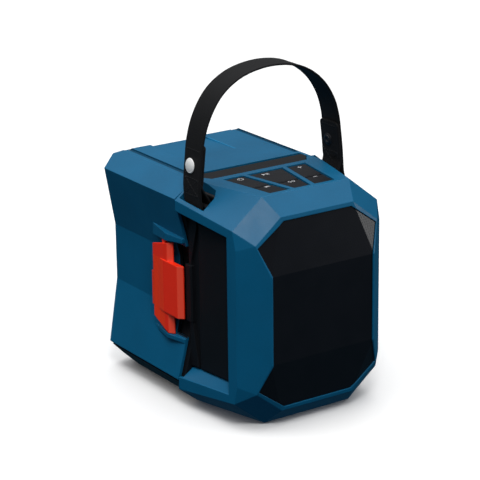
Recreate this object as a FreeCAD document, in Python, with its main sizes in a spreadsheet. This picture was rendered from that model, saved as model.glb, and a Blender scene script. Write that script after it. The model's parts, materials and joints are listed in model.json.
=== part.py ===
import FreeCAD, Part
import math
import os
import re
import Sketcher

V = FreeCAD.Vector
doc = FreeCAD.newDocument("speaker")
sheet = doc.addObject("Spreadsheet::Sheet", "Sizes")
parts = []

# Sizes in millimetres. X is to the right, Y runs from the speaker front (negative) to the battery
# cover (positive), Z is up, and the origin is on the floor under the seam between the two. A text
# that starts with an equals sign ties a place to the sizes above it.
SIZES = {
    # whole body
    "height": 170,
    "floor_gap": 1,
    "wall": 2.4,
    "housing_seam": 5,
    "cover_seam": 4,
    # front housing, an eight-sided form that narrows towards the grille
    "seam_half": 69,
    "crown_inset": 15.5,
    "crown_seam_half": "=seam_half - crown_inset",
    "side_taper": 6.2,
    "brow_half": "=seam_half - side_taper",
    "brow_inset": 25.3,
    "crown_brow_half": "=brow_half - brow_inset",
    "shoulder_slope": 0.8,
    "brow_depth": 68,
    "band_inset": 31.6,
    "band_half": "=brow_half - band_inset",
    "band_run": 13.5,
    "band_depth": "=brow_depth + band_run",
    "band_drop": 12.5,
    "cheek_inset": 10.3,
    "cheek_half": "=brow_half - cheek_inset",
    "nose_inset": 7.8,
    "nose_half": "=cheek_half - nose_inset",
    "nose_drop": 52,
    "nose_run": 7.8,
    "nose_depth": "=band_depth + nose_run",
    "notch_drop": 34,
    # grille opening in the nose
    "mouth_rim": 1.2,
    "mouth_top_rim": 1.9,
    "mouth_top_fall": 2.9,
    "mouth_cheek_fall": 16,
    "mouth_nose_lift": 0.4,
    "mouth_top_half": "=band_half - mouth_top_rim",
    "mouth_top_drop": "=band_drop + mouth_top_fall",
    "mouth_cheek_half": "=cheek_half - mouth_rim",
    "mouth_cheek_drop": "=mouth_top_drop + mouth_cheek_fall",
    "mouth_nose_half": "=nose_half - mouth_rim",
    "mouth_nose_drop": "=nose_drop - mouth_nose_lift",
    "grille_gap": 0.2,
    "grille_sink": 0.8,
    "grille_thick": 2,
    "grille_leg_half": 2.3,
    # side recesses, with the sloping sill
    "recess_rim": 6,
    "recess_front": "=brow_depth - recess_rim",
    "recess_seam_drop": 20.2,
    "recess_top_seam": "=height - recess_seam_drop",
    "recess_front_drop": 26,
    "recess_top_front": "=height - recess_front_drop",
    "recess_low_seam": 22.8,
    "recess_low_front": 27,
    "sill_rise": 7,
    # carrying strap
    "strap_width": 25.2,
    "strap_thick": 1.9,
    "strap_play": 0.5,
    "strap_slack": 1.3,
    "strap_clear": 0.9,
    "strap_rise": 93.3,
    "tail_gap": 0.45,
    # strap slots and wells in the shoulders, with a bar and a guide across each
    "slot_inset": 18.7,
    "slot_inner": "=seam_half - slot_inset",
    "slot_rim": 2.4,
    "slot_back": 6.8,
    "slot_front": "=slot_back + strap_width + 2 * strap_clear",
    "slot_corner": 4,
    "well_depth": 20,
    "well_floor": "=height - well_depth",
    "well_wall": 1.6,
    "strap_bar_radius": 1.8,
    "strap_bar_inset": 10,
    "strap_bar_side": "=seam_half - strap_bar_inset",
    "strap_bar_drop": 12.8,
    "strap_bar_height": "=height - strap_bar_drop",
    "guide_radius": 1.7,
    "guide_inset": 1.9,
    "guide_side": "=slot_inner + guide_inset",
    "guide_drop": 7.4,
    "guide_height": "=height - guide_drop",
    "snap_lift": 27.3,
    "snap_height": "=strap_bar_height + snap_lift",
    "snap_aside": 5.1,
    "snap_depth": "=(slot_back + slot_front) / 2 - snap_aside",
    "snap_radius": 5.5,
    "snap_proud": 1.3,
    # six keys in three windows
    "pad_back": 17,
    "pad_rim": 4,
    "pad_front": "=brow_depth - pad_rim",
    "pad_back_inset": 17.5,
    "pad_back_half": "=crown_seam_half - pad_back_inset",
    "pad_front_inset": 9.5,
    "pad_front_half": "=crown_brow_half - pad_front_inset",
    "column_gap": 3.4,
    "middle_back_half": 15.5,
    "middle_front_half": 7,
    "key_split": 45,
    "key_gap": 1.8,
    "key_fit": 0.3,
    "key_sink": 0.7,
    "key_flange": 0.7,
    "key_flange_thick": 1,
    "key_travel": 0.6,
    "key_bevel": 0.8,
    "mat_thick": 2,
    "stop_height": 0.38,
    "stop_half": 2,
    "board_thick": 1.6,
    # black bar across the top seam
    "bar_rim": 4.5,
    "bar_half": "=crown_seam_half - bar_rim",
    "bar_front": 11,
    "bar_back": 8.5,
    "bar_cut": 8,
    "bar_sink": 1,
    "bar_top": "=height - bar_sink",
    "bar_high": 6,
    "bar_round": 3.4,
    "bar_fit": 0.4,
    "bar_swing": 0.5,
    # chassis
    "box_inset": 11,
    "box_half": "=seam_half - box_inset",
    "box_reach": 0.4,
    "box_front": "=brow_depth - wall + box_reach",
    "box_lift": 17.68,
    "box_low": "=box_lift + 1.8 * wall",
    "box_drop": 22,
    "box_top": "=height - box_drop",
    "box_wall": 2.6,
    "bulk_front": 8,
    "bulk_back": 1.2,
    "bulk_gap": 0.6,
    "strip_proud": 2,
    "strip_wide": 10.5,
    "strip_narrow": 3,
    "panel_thick": 1.6,
    "panel_back": 20.8,
    "panel_rim": 3,
    "panel_front": "=box_front - panel_rim",
    "panel_lift": 1,
    "panel_drop": 6,
    "panel_top": "=box_top - panel_drop",
    # rear cover, waisted at the sides
    "cover_shoulder": 93,
    "back_bevel": 7,
    "cover_back": "=cover_shoulder + back_bevel",
    "cover_sink": 0.8,
    "cover_top": "=height - cover_sink",
    "cover_crown_inset": 17.2,
    "cover_crown_half": "=seam_half - cover_crown_inset",
    "cover_edge_drop": 11,
    "cover_edge_top": "=cover_top - cover_edge_drop",
    "cover_edge_low": 20.5,
    "waist_inset": 12,
    "waist_half": "=seam_half - waist_inset",
    "waist_drop": 47.7,
    "waist_top": "=cover_edge_top - waist_drop",
    "waist_low": 67,
    "cover_floor_inset": 18,
    "cover_floor_half": "=seam_half - cover_floor_inset",
    "cover_floor": 5.2,
    "back_bevel_drop": 3.3,
    "back_low_rise": 7,
    "groove_width": 7.4,
    "groove_inner": "=cover_crown_half - groove_width",
    "groove_depth": 1.3,
    "groove_front": 12.5,
    "thumb_left": 28.4,
    "thumb_right": 17.5,
    "thumb_length": 48,
    "thumb_front": "=cover_shoulder - thumb_length",
    "thumb_depth": 1.3,
    # skid and feet
    "skid_inset": 1,
    "skid_half": "=cover_floor_half - skid_inset",
    "skid_top": 18.6,
    "skid_top_half": "=seam_half - skid_inset",
    "skid_slope": 9,
    "skid_back": "=cover_shoulder - skid_slope",
    "skid_gap": 0.05,
    "foot_width": 9,
    "foot_side": 26,
    "foot_sink": 0.8,
    # hinge on the right
    "hinge_reach": 13.5,
    "hinge_side": "=waist_half + hinge_reach",
    "hinge_depth": 5.5,
    "hinge_radius": 4,
    "hinge_pin_radius": 2,
    "hinge_play": 0.05,
    "knuckle_rise": 1,
    "knuckle_low": "=waist_low + knuckle_rise",
    "knuckle_drop": 2.5,
    "knuckle_high": "=waist_top - knuckle_drop",
    "knuckle_length": 10,
    "knuckle_gap": 0.4,
    "arm_thick": 4.9,
    # latch on the left, a rocker whose rear end is pressed in
    "latch_under": 16.5,
    "latch_low": "=waist_low - latch_under",
    "latch_over": 10.5,
    "latch_high": "=waist_top + latch_over",
    "latch_room": 0.44,
    "latch_slope": "=(waist_low - latch_low) / (waist_low - cover_edge_low)",
    "latch_back": "=waist_half + waist_inset * latch_slope + latch_room",
    "latch_in": 1,
    "latch_side": "=latch_back + latch_in",
    "latch_depth": 20,
    "latch_hub": 1.9,
    "latch_pin_radius": 1.1,
    "latch_play": 0.05,
    "latch_gap": 0.4,
    "latch_out": 3.3,
    "latch_face": "=latch_side + latch_out",
    "slim_ahead": 10.5,
    "slim_front": "=latch_depth - slim_ahead",
    "slim_behind": 14.5,
    "slim_rear": "=latch_depth + slim_behind",
    "wing_under": 1,
    "wing_low": "=waist_low - wing_under",
    "wing_below": 4.5,
    "wing_high": "=waist_top - wing_below",
    "wing_fall": 11,
    "wing_rear_high": "=wing_high - wing_fall",
    "wing_clear": 1.1,
    "wing_front": "=housing_seam - wing_clear",
    "wing_behind": 18,
    "wing_rear": "=latch_depth + wing_behind",
    "catch_clear": 0.5,
    "catch_side": "=latch_back - catch_clear",
    "catch_under": 1.5,
    "catch_low": "=waist_low - catch_under",
    "catch_below": 2,
    "catch_high": "=waist_top - catch_below",
    "catch_front": 12,
    "catch_hole_behind": 0.5,
    "catch_hole_rear": "=slim_front - catch_hole_behind",
    "guard_rise": 7.8,
    "guard_top": "=latch_high + guard_rise",
    "guard_dip": 1.3,
    "guard_low": "=latch_high - guard_dip",
    "guard_lift": 2.6,
    "guard_nose_low": "=latch_high + guard_lift",
    "guard_nose": 3.2,
    "guard_fall": 3.6,
    "guard_floor": "=latch_low - guard_fall",
    "guard_side": "=latch_face",
    "guard_ahead": 6,
    "guard_knee": "=latch_depth - guard_ahead",
    "guard_behind": 18,
    "guard_rear": "=latch_depth + guard_behind",
    # sound parts
    "baffle_inset": 0.6,
    "baffle_half": "=box_half - baffle_inset",
    "baffle_cut": 17,
    "baffle_drop": 18,
    "baffle_edge_drop": 28,
    "baffle_thick": 3,
    "driver_inset": 22,
    "driver_radius": "=box_half - driver_inset",
    "driver_under": 6,
    "driver_height": "=box_top - driver_under - driver_radius",
    "driver_room": 14,
    "passive_radius": "=(box_top - box_low - driver_room) / 2 - driver_radius",
    "passive_lift": 4,
    "passive_height": "=box_low + passive_lift + passive_radius",
    "driver_rim": 9,
    "cone_radius": "=driver_radius - driver_rim",
    "driver_depth": 24,
    "magnet_radius": 21,
    "magnet_depth": 12,
    "cap_radius": 9,
    # battery dock and electronics
    "rail_side": 33,
    "rail_rise": 20,
    "rail_low": "=box_low + rail_rise",
    "rail_high": "=box_top - rail_rise",
    "rail_depth": 9,
    "terminal_half": 22,
    "terminal_rise": 10,
    "terminal_low": "=rail_low + terminal_rise",
    "terminal_tall": 26,
    "terminal_high": "=terminal_low + terminal_tall",
    "terminal_depth": 14,
    "slit_spacing": 10,
    "board_half": 42,
    "board_rise": 12,
    "board_low": "=box_low + board_rise",
    "board_drop": 10,
    "board_high": "=box_top - board_drop",
    "socket_radius": 5,
    "socket_bore": 1.8,
    "screw_side": 20,
    "screw_drop": 14,
    "screw_top": "=height - screw_drop",
    "screw_low": 14,
    "screw_radius": 1.4,
    "screw_head": 2.8,
    "screw_length": 12,
}

for row, (alias, value) in enumerate(SIZES.items(), 1):
    sheet.set(f"A{row}", alias)
    sheet.set(f"B{row}", str(value))
    sheet.setAlias(f"B{row}", alias)
doc.recompute()


def size(alias):
    """A driving size from the sheet."""
    return float(sheet.get(alias))


def bound(text):
    """An expression on the sheet's aliases, as the document writes it."""
    return re.sub(r"[a-z_]+", lambda word: f"Sizes.{word[0]}" if word[0] in SIZES else word[0], text)


def value(text):
    """The number that an expression on the sheet's aliases gives now."""
    return float(sheet.evalExpression(bound(text)))


def new_body(label):
    """One sub-part as a parametric body."""
    body = doc.addObject("PartDesign::Body", label)
    body.Label = label
    parts.append(body)
    return body


def shaped(label, shape):
    """One sub-part whose form comes from solid geometry."""
    feature = doc.addObject("Part::Feature", label)
    feature.Label = label
    feature.Shape = shape
    feature.Placement = FreeCAD.Placement()
    parts.append(feature)
    return feature


def new_sketch(body, plane, offset):
    """A sketch on one of the body's own planes, moved along the plane's normal."""
    role = f"{plane}_Plane"
    origin = [item for item in body.Origin.OriginFeatures if item.Role == role][0]
    sketch = body.newObject("Sketcher::SketchObject", f"{body.Name}_sketch")
    sketch.AttachmentSupport = [(origin, "")]
    sketch.MapMode = "FlatFace"
    sketch.setExpression(".AttachmentOffset.Base.z", bound(offset))
    return sketch


def hold(sketch, kind, geometry, point, text):
    """Bind one coordinate of a sketch point to an expression."""
    index = sketch.addConstraint(Sketcher.Constraint(kind, geometry, point, value(text)))
    sketch.renameConstraint(index, f"c{index}")
    sketch.setExpression(f"Constraints.c{index}", bound(text))


def add_polygon(sketch, corners):
    """Closed outline whose corners are pairs of expressions."""
    first = sketch.GeometryCount
    spots = [V(value(across), value(along), 0) for across, along in corners]
    for start, end in zip(spots, spots[1:] + spots[:1]):
        sketch.addGeometry(Part.LineSegment(start, end), False)
    for number, (across, along) in enumerate(corners):
        following = first + (number + 1) % len(corners)
        sketch.addConstraint(Sketcher.Constraint("Coincident", first + number, 2, following, 1))
        hold(sketch, "DistanceX", first + number, 1, across)
        hold(sketch, "DistanceY", first + number, 1, along)


def add_circle(sketch, across, along, radius):
    """Circle with its centre and radius bound to expressions."""
    index = sketch.GeometryCount
    centre = V(value(across), value(along), 0)
    sketch.addGeometry(Part.Circle(centre, V(0, 0, 1), value(radius)), False)
    hold(sketch, "DistanceX", index, 3, across)
    hold(sketch, "DistanceY", index, 3, along)
    mark = sketch.addConstraint(Sketcher.Constraint("Radius", index, value(radius)))
    sketch.renameConstraint(mark, f"c{mark}")
    sketch.setExpression(f"Constraints.c{mark}", bound(radius))


def polygon(body, plane, offset, *outlines):
    sketch = new_sketch(body, plane, offset)
    for corners in outlines:
        add_polygon(sketch, corners)
    return sketch


def circles(body, plane, offset, *rounds):
    sketch = new_sketch(body, plane, offset)
    for across, along, radius in rounds:
        add_circle(sketch, across, along, radius)
    return sketch


def pad(body, sketch, length, back=False):
    """Material from the sketch along its normal, or against it."""
    feature = body.newObject("PartDesign::Pad", "Pad")
    feature.Profile = sketch
    feature.setExpression("Length", bound(length))
    feature.Reversed = back
    sketch.Visibility = False
    return feature


def pocket(body, sketch, length, back=False):
    """Material removed on the side that the sketch's normal points away from, or the other."""
    doc.recompute()
    before = body.Shape.Volume
    feature = body.newObject("PartDesign::Pocket", "Pocket")
    feature.Profile = sketch
    feature.setExpression("Length", bound(length))
    feature.Reversed = back
    sketch.Visibility = False
    doc.recompute()
    if body.Shape.Volume >= before:
        raise ValueError(f"{body.Label}: a pocket cuts nothing")
    return feature


def mirror_x(corners):
    """The same outline on the other side of the middle plane."""
    return [(f"-({across})", along) for across, along in corners]


def both_sides(corners):
    """A symmetric outline from its right half, given from the top down."""
    return list(corners) + mirror_x(reversed(list(corners)))


def block(low, high):
    """Box between two corners."""
    return Part.makeBox(high[0] - low[0], high[1] - low[1], high[2] - low[2], V(*low))


def rod(radius, start, end):
    """Round bar between two points."""
    along = V(*end) - V(*start)
    return Part.makeCylinder(radius, along.Length, V(*start), along)


def prism(points, travel):
    """Flat outline pushed along a vector."""
    return Part.Face(Part.makePolygon(points + points[:1])).extrude(V(*travel))


def mirrored(shape):
    return shape.mirror(V(0, 0, 0), V(1, 0, 0))


# Front housing

def housing_corners():
    """Named corners of the housing's upper right quarter, as (side, depth, drop from the top)."""
    seam_drop = (size("seam_half") - size("crown_seam_half")) * size("shoulder_slope")
    brow_drop = (size("brow_half") - size("crown_brow_half")) * size("shoulder_slope")
    cheek_drop = (size("cheek_half") - size("band_half")) * size("shoulder_slope")
    taper = (size("seam_half") - size("brow_half")) / (size("brow_depth") - size("housing_seam"))
    diagonal = size("nose_half") + size("nose_depth")
    notch = (diagonal - size("brow_half") - taper * size("brow_depth")) / (1 - taper)
    return {
        "crown_seam": (size("crown_seam_half"), size("housing_seam"), 0),
        "edge_seam": (size("seam_half"), size("housing_seam"), seam_drop),
        "crown_brow": (size("crown_brow_half"), size("brow_depth"), 0),
        "edge_brow": (size("brow_half"), size("brow_depth"), brow_drop),
        "notch": (diagonal - notch, notch, size("notch_drop")),
        "band": (size("band_half"), size("band_depth"), size("band_drop")),
        "cheek": (diagonal - size("band_depth"), size("band_depth"), size("band_drop") + cheek_drop),
        "nose": (size("nose_half"), size("nose_depth"), size("nose_drop")),
    }


def flat_faces(points):
    """One flat face through the points, or a fan of triangles where they aren't in one plane."""
    try:
        return [Part.Face(Part.makePolygon(points + points[:1]))]
    except Part.OCCError:
        fans = zip(points[1:], points[2:])
        return [Part.Face(Part.makePolygon([points[0], a, b, points[0]])) for a, b in fans]


def housing_form(inset):
    """The faceted form. An inset moves each quarter inward, which keeps every facet parallel."""
    corners = housing_corners()

    def corner(name, side, level):
        across, depth, drop = corners[name]
        top = size("height") - drop - inset
        low = size("floor_gap") + drop + inset
        return V(side * (across - inset), inset - depth, top if level > 0 else low)

    faces = []
    for side in (1, -1):
        for level in (1, -1):
            for names in (("crown_seam", "crown_brow", "edge_brow", "edge_seam"),
                          ("crown_brow", "band", "cheek", "edge_brow"),
                          ("edge_brow", "cheek", "notch"),
                          ("band", "nose", "cheek")):
                faces += flat_faces([corner(name, side, level) for name in names])
        for names in (("edge_seam", "edge_brow", "notch"), ("notch", "cheek", "nose")):
            upper = [corner(name, side, 1) for name in names]
            lower = [corner(name, side, -1) for name in reversed(names)]
            faces += flat_faces(upper + lower)
    for level in (1, -1):
        for back, front in (("crown_seam", "crown_brow"), ("crown_brow", "band"), ("band", "nose")):
            pair = [corner(back, 1, level), corner(back, -1, level)]
            faces += flat_faces(pair + [corner(front, -1, level), corner(front, 1, level)])
    nose = [corner("nose", side, level) for side, level in ((1, 1), (-1, 1), (-1, -1), (1, -1))]
    faces += flat_faces(nose)
    ring = [("crown_seam", 1, 1), ("edge_seam", 1, 1), ("edge_seam", 1, -1), ("crown_seam", 1, -1)]
    ring += [(name, -side, level) for name, side, level in reversed(ring)]
    faces += flat_faces([corner(*spot) for spot in ring])
    return Part.makeSolid(Part.makeShell(faces))


def mouth_prism(gap):
    """The twelve-sided opening in the nose, from front to back."""
    spots = [("mouth_top_half", "mouth_top_drop"), ("mouth_cheek_half", "mouth_cheek_drop"),
             ("mouth_nose_half", "mouth_nose_drop")]
    quarter = [(size(half) - gap, size(drop) + gap) for half, drop in spots]
    front = -size("nose_depth") - 1
    upper = [V(across, front, size("height") - drop) for across, drop in quarter]
    lower = [V(across, front, size("floor_gap") + drop) for across, drop in reversed(quarter)]
    right = upper + lower
    left = [V(-point.x, point.y, point.z) for point in reversed(right)]
    return prism(right + left, (0, 40, 0))


def recess_prism():
    """Opening in the right side wall, from the seam to just behind the cheek."""
    inner = size("box_half") - 2
    seam = 1 - size("housing_seam")
    front = -size("recess_front")
    outline = [V(inner, seam, size("recess_low_seam")), V(inner, seam, size("recess_top_seam")),
               V(inner, front, size("recess_top_front")), V(inner, front, size("recess_low_front"))]
    return prism(outline, (20, 0, 0))


def sill():
    """Sloping ledge that closes the recess below, down to the chassis wall."""
    inner = size("box_half") + 0.2
    rise = size("sill_rise")
    wires = []
    for depth, low in ((size("bulk_front") + 0.4, size("recess_low_seam")),
                       (size("recess_front"), size("recess_low_front"))):
        outer = side_line(depth) - 0.5
        thick = size("wall")
        spots = [(outer, low), (inner, low + rise), (inner, low + rise - thick),
                 (outer - thick, low - thick)]
        points = [V(across, -depth, height) for across, height in spots]
        wires.append(Part.makePolygon(points + points[:1]))
    return Part.makeLoft(wires, True, True)


def side_line(depth):
    """Half width of the housing's side at a distance in front of the origin."""
    taper = (size("seam_half") - size("brow_half")) / (size("brow_depth") - size("housing_seam"))
    return size("seam_half") - taper * (depth - size("housing_seam"))


def well_block():
    """Material that the strap slot is sunk into, below the right shoulder."""
    wall = size("well_wall")
    low = (size("slot_inner") - wall, -size("slot_front") - wall, size("well_floor") - wall)
    high = (size("seam_half"), -size("slot_back") + wall, size("height"))
    return block(low, high)


def slot_prism():
    """The strap slot, with its cut front inner corner and its outer side along the shoulder's edge."""
    cut = size("slot_corner")
    back, front = size("slot_back"), size("slot_front")
    outline = [(size("slot_inner"), back), (size("slot_inner"), front - cut),
               (size("slot_inner") + cut, front), (side_line(front) - size("slot_rim"), front),
               (side_line(back) - size("slot_rim"), back)]
    points = [V(across, -depth, size("well_floor")) for across, depth in outline]
    return prism(points, (0, 0, 2 * size("well_depth")))


def column_edges(column, gap):
    """Left and right edges of a key window, at the back and at the front of the pad."""
    middle_back = size("middle_back_half") + gap
    middle_front = size("middle_front_half") + gap
    if column == 0:
        return (-middle_back, middle_back), (-middle_front, middle_front)
    inner_back = size("middle_back_half") + size("column_gap") - gap
    inner_front = size("middle_front_half") + size("column_gap") - gap
    outer_back = size("pad_back_half") + gap
    outer_front = size("pad_front_half") + gap
    if column > 0:
        return (inner_back, outer_back), (inner_front, outer_front)
    return (-outer_back, -inner_back), (-outer_front, -inner_front)


def pad_outline(column, back, front, gap, height):
    """Four corners of the window or key between two depths, the pad's taper kept."""
    (left_back, right_back), (left_front, right_front) = column_edges(column, gap)
    span = size("pad_front") - size("pad_back")

    def across(start, end, depth):
        return start + (end - start) * (depth - size("pad_back")) / span

    back = back - gap
    front = front + gap
    return [V(across(left_back, left_front, back), -back, height),
            V(across(right_back, right_front, back), -back, height),
            V(across(right_back, right_front, front), -front, height),
            V(across(left_back, left_front, front), -front, height)]


def screw_boss(upper):
    """Post that takes one of the long screws, hung from the top wall or set on the floor."""
    side = size("screw_side")
    back = -size("bulk_front")
    if upper:
        foot = block((side - 4, back - 5, size("screw_top") - 5), (side + 4, back, size("screw_top") + 5))
        stem = block((side - 4, back - 5, size("screw_top")), (side + 4, back - 1.8, size("height") - 1))
        return foot.fuse(stem)
    low = size("floor_gap") + 1
    return block((side - 4, back - 5, low), (side + 4, back, size("screw_low") + 5))


def screw_axis(upper):
    height = size("screw_top") if upper else size("screw_low")
    start = (size("screw_side"), size("bulk_back"), height)
    return start, (start[0], start[1] - size("screw_length") - 2, height)


def front_housing():
    outer = housing_form(0)
    shell = outer.cut(housing_form(size("wall")))
    inner = size("height") - size("wall")
    extras = []
    for upper in (True, False):
        extras.append(screw_boss(upper))
    extras.append(well_block())
    board_low = inner - size("key_flange_thick") - size("key_travel") - size("stop_height")
    board_low -= size("mat_thick")
    for across, depth in ((size("pad_back_half") + 5, size("pad_back") + 3),
                          (size("pad_front_half") + 4.5, size("pad_front") - 2)):
        extras.append(block((across - 2, -depth - 2, board_low),
                            (across + 2, -depth + 2, size("height") - 1)))
    for extra in extras:
        inside = extra.common(outer)
        shell = shell.fuse([inside, mirrored(inside)])
    cuts = [mouth_prism(0)]
    windows = [pad_outline(column, size("pad_back"), size("pad_front"), 0, inner - 0.5)
               for column in (-1, 0, 1)]
    cuts += [prism(points, (0, 0, 5)) for points in windows]
    notch_low = size("bar_top") - size("bar_high") - 2
    notch_half = size("bar_half") + size("bar_fit")
    notch_front = -size("bar_front") - size("bar_fit")
    notch = [(notch_half, 0), (notch_half - size("bar_cut"), notch_front),
             (size("bar_cut") - notch_half, notch_front), (-notch_half, 0)]
    cuts.append(prism([V(across, along, notch_low) for across, along in notch], (0, 0, 3 * size("bar_high"))))
    for tool in (recess_prism(), slot_prism()):
        cuts += [tool, mirrored(tool)]
    for upper in (True, False):
        hole = rod(size("screw_radius") + 0.05, *screw_axis(upper))
        cuts += [hole, mirrored(hole)]
    for bar in (strap_bar(0.03), guide_bar(0.03)):
        cuts += [bar, mirrored(bar)]
    for foot in foot_blocks():
        cuts.append(foot)
    shell = shell.cut(cuts)
    ledge = sill()
    shell = shell.fuse([ledge, mirrored(ledge)]).removeSplitter()
    shaped("front_housing", shell)


def strap_bar(gap):
    ends = (-size("slot_back") + 1, -size("slot_front") - 1)
    centre = (size("strap_bar_side"), size("strap_bar_height"))
    return rod(size("strap_bar_radius") + gap, (centre[0], ends[0] + gap, centre[1]),
               (centre[0], ends[1] - gap, centre[1]))


def guide_bar(gap):
    ends = (-size("slot_back") + 1, -size("slot_front") - 1)
    centre = (size("guide_side"), size("guide_height"))
    return rod(size("guide_radius") + gap, (centre[0], ends[0] + gap, centre[1]),
               (centre[0], ends[1] - gap, centre[1]))


def foot_blocks():
    """Two rubber strips under the housing floor, sunk into it a little."""
    half = size("foot_width") / 2
    top = size("floor_gap") + size("foot_sink")
    feet = []
    for side in (-1, 1):
        centre = side * size("foot_side")
        feet.append(block((centre - half, -size("brow_depth") + 8, 0),
                          (centre + half, -size("housing_seam") - 8, top)))
    return feet


def bars_and_feet():
    for name, shape in (("strap_bar", strap_bar(0)), ("strap_guide", guide_bar(0))):
        shaped(f"{name}_right", shape)
        shaped(f"{name}_left", mirrored(shape))
    shaped("front_feet", Part.makeCompound(foot_blocks()))


# Grille

def speaker_grille():
    """Faceted plate that follows the nose, on four legs that stand on the baffle."""
    form = housing_form(0)
    front = form.translated(V(0, size("grille_sink"), 0))
    back = form.translated(V(0, size("grille_sink") + size("grille_thick"), 0))
    sheet_metal = mouth_prism(size("grille_gap")).common(front).cut(back)
    baffle = -size("box_front") - size("baffle_thick")
    legs = []
    middle = (size("height") + size("floor_gap")) / 2
    reach = size("height") / 2 - size("mouth_nose_drop") + 4
    half = size("grille_leg_half")
    for side in (-1, 1):
        for level in (-1, 1):
            across = side * (size("mouth_nose_half") - 4)
            along = middle + level * reach
            legs.append(block((across - half, -size("nose_depth"), along - half),
                              (across + half, baffle, along + half)))
    legs = [leg.common(front) for leg in legs]
    shaped("speaker_grille", sheet_metal.fuse(legs).removeSplitter())


# Rear cover

COVER_SECTION = (("cover_crown_half", "cover_top"), ("seam_half", "cover_edge_top"),
                 ("waist_half", "waist_top"), ("waist_half", "waist_low"),
                 ("seam_half", "cover_edge_low"), ("cover_floor_half", "cover_floor"))


def guard_outline(wall_side, nose):
    """Plan of a ledge beside the latch: a long triangle that runs out at the cover's front edge."""
    return mirror_x([(wall_side, "guard_rear"), ("guard_side", "guard_knee"), (nose, "-cover_seam"),
                     (wall_side, "-cover_seam")])


def rear_cover():
    body = new_body("rear_cover")
    pad(body, polygon(body, "XZ", "cover_seam", both_sides(COVER_SECTION)),
        "cover_seam + cover_back", back=True)
    corner = [("seam_half", "cover_shoulder"), ("waist_half", "cover_back"),
              ("waist_half", "cover_back + 2"), ("seam_half + 2", "cover_back + 2"),
              ("seam_half + 2", "cover_shoulder")]
    pocket(body, polygon(body, "XY", "height + 2", corner, mirror_x(corner)), "height + 4")
    top = [("cover_shoulder", "cover_top"), ("cover_back", "cover_top - back_bevel_drop"),
           ("cover_back + 2", "cover_top - back_bevel_drop"), ("cover_back + 2", "cover_top + 2"),
           ("cover_shoulder", "cover_top + 2")]
    low = [("cover_shoulder", "cover_floor"), ("cover_back", "cover_floor + back_low_rise"),
           ("cover_back + 2", "cover_floor + back_low_rise"), ("cover_back + 2", "cover_floor - 2"),
           ("cover_shoulder", "cover_floor - 2")]
    pocket(body, polygon(body, "YZ", "seam_half + 2", top, low), "2 * seam_half + 4")
    hollow(body)
    guards(body)
    catch_hole(body)
    cover_top_details(body)
    cover_hinge(body)
    return body


def hollow(body):
    """Room for the battery, open at the seam; the back of it is narrower, behind the bevels."""
    main = inset_section("wall", "cover_top - wall", "cover_floor + wall")
    pocket(body, polygon(body, "XZ", "cover_seam", main), "cover_seam + cover_shoulder - 1")
    narrow = both_sides([("cover_crown_half - 4", "cover_top - back_bevel_drop - wall"),
                         ("waist_half - wall", "cover_edge_top - 8"),
                         ("waist_half - wall", "cover_edge_low + 8"),
                         ("cover_floor_half - 4", "cover_floor + back_low_rise + wall")])
    pocket(body, polygon(body, "XZ", "-cover_shoulder + 1.5", narrow),
           "cover_back - cover_shoulder + 1.5 - wall")


def guards(body):
    """Ledges above and below the latch, which hold the ends of its pin."""
    low = "latch_low - latch_gap"
    upper_run = "(guard_low - waist_top) / (cover_edge_top - waist_top)"
    lower_run = f"(waist_low - ({low})) / (waist_low - cover_edge_low)"
    upper_wall = f"waist_half - 0.1 + (seam_half - waist_half) * {upper_run}"
    lower_wall = f"waist_half - 0.1 + (seam_half - waist_half) * {lower_run}"
    profile = [("guard_rear", "guard_low"), ("guard_rear", "guard_top"),
               ("-cover_seam", "guard_nose_low + guard_nose"), ("-cover_seam", "guard_nose_low")]
    pad(body, polygon(body, "YZ", f"-({upper_wall})", profile), f"guard_side - ({upper_wall})", back=True)
    beyond = "guard_side + 1"
    rear = [(beyond, "guard_rear + 1"), (f"{upper_wall} + 2.3", "guard_rear + 1"),
            (f"{upper_wall} + 2.3", "guard_rear"), ("guard_side", "guard_knee"), (beyond, "guard_knee")]
    nose = [("guard_side", "guard_knee"), (f"{upper_wall} + 3.6", "-cover_seam"),
            (f"{upper_wall} + 3.6", "-cover_seam - 1"), (beyond, "-cover_seam - 1"), (beyond, "guard_knee")]
    for cut in (rear, nose):
        pocket(body, polygon(body, "XY", "guard_top + 1", mirror_x(cut)), "guard_top - guard_low + 2")
    lower = guard_outline(lower_wall, f"{lower_wall} + 1")
    pad(body, polygon(body, "XY", "guard_floor", lower), f"{low} - guard_floor")
    pin = ("-latch_side", "latch_depth", "latch_pin_radius")
    pocket(body, circles(body, "XY", "guard_top - 1.6", pin), f"guard_top - 1.6 - ({low}) + 2.2")


def catch_hole(body):
    """Opening in the left wall beside the latch, through which it hooks on to the chassis."""
    outline = [("-cover_seam - 1", "latch_low + 0.6"), ("-cover_seam - 1", "latch_high - 0.6"),
               ("catch_hole_rear", "latch_high - 0.6"), ("catch_hole_rear", "latch_low + 0.6")]
    pocket(body, polygon(body, "YZ", "-waist_half + wall + 1.5", outline), "12")


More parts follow.
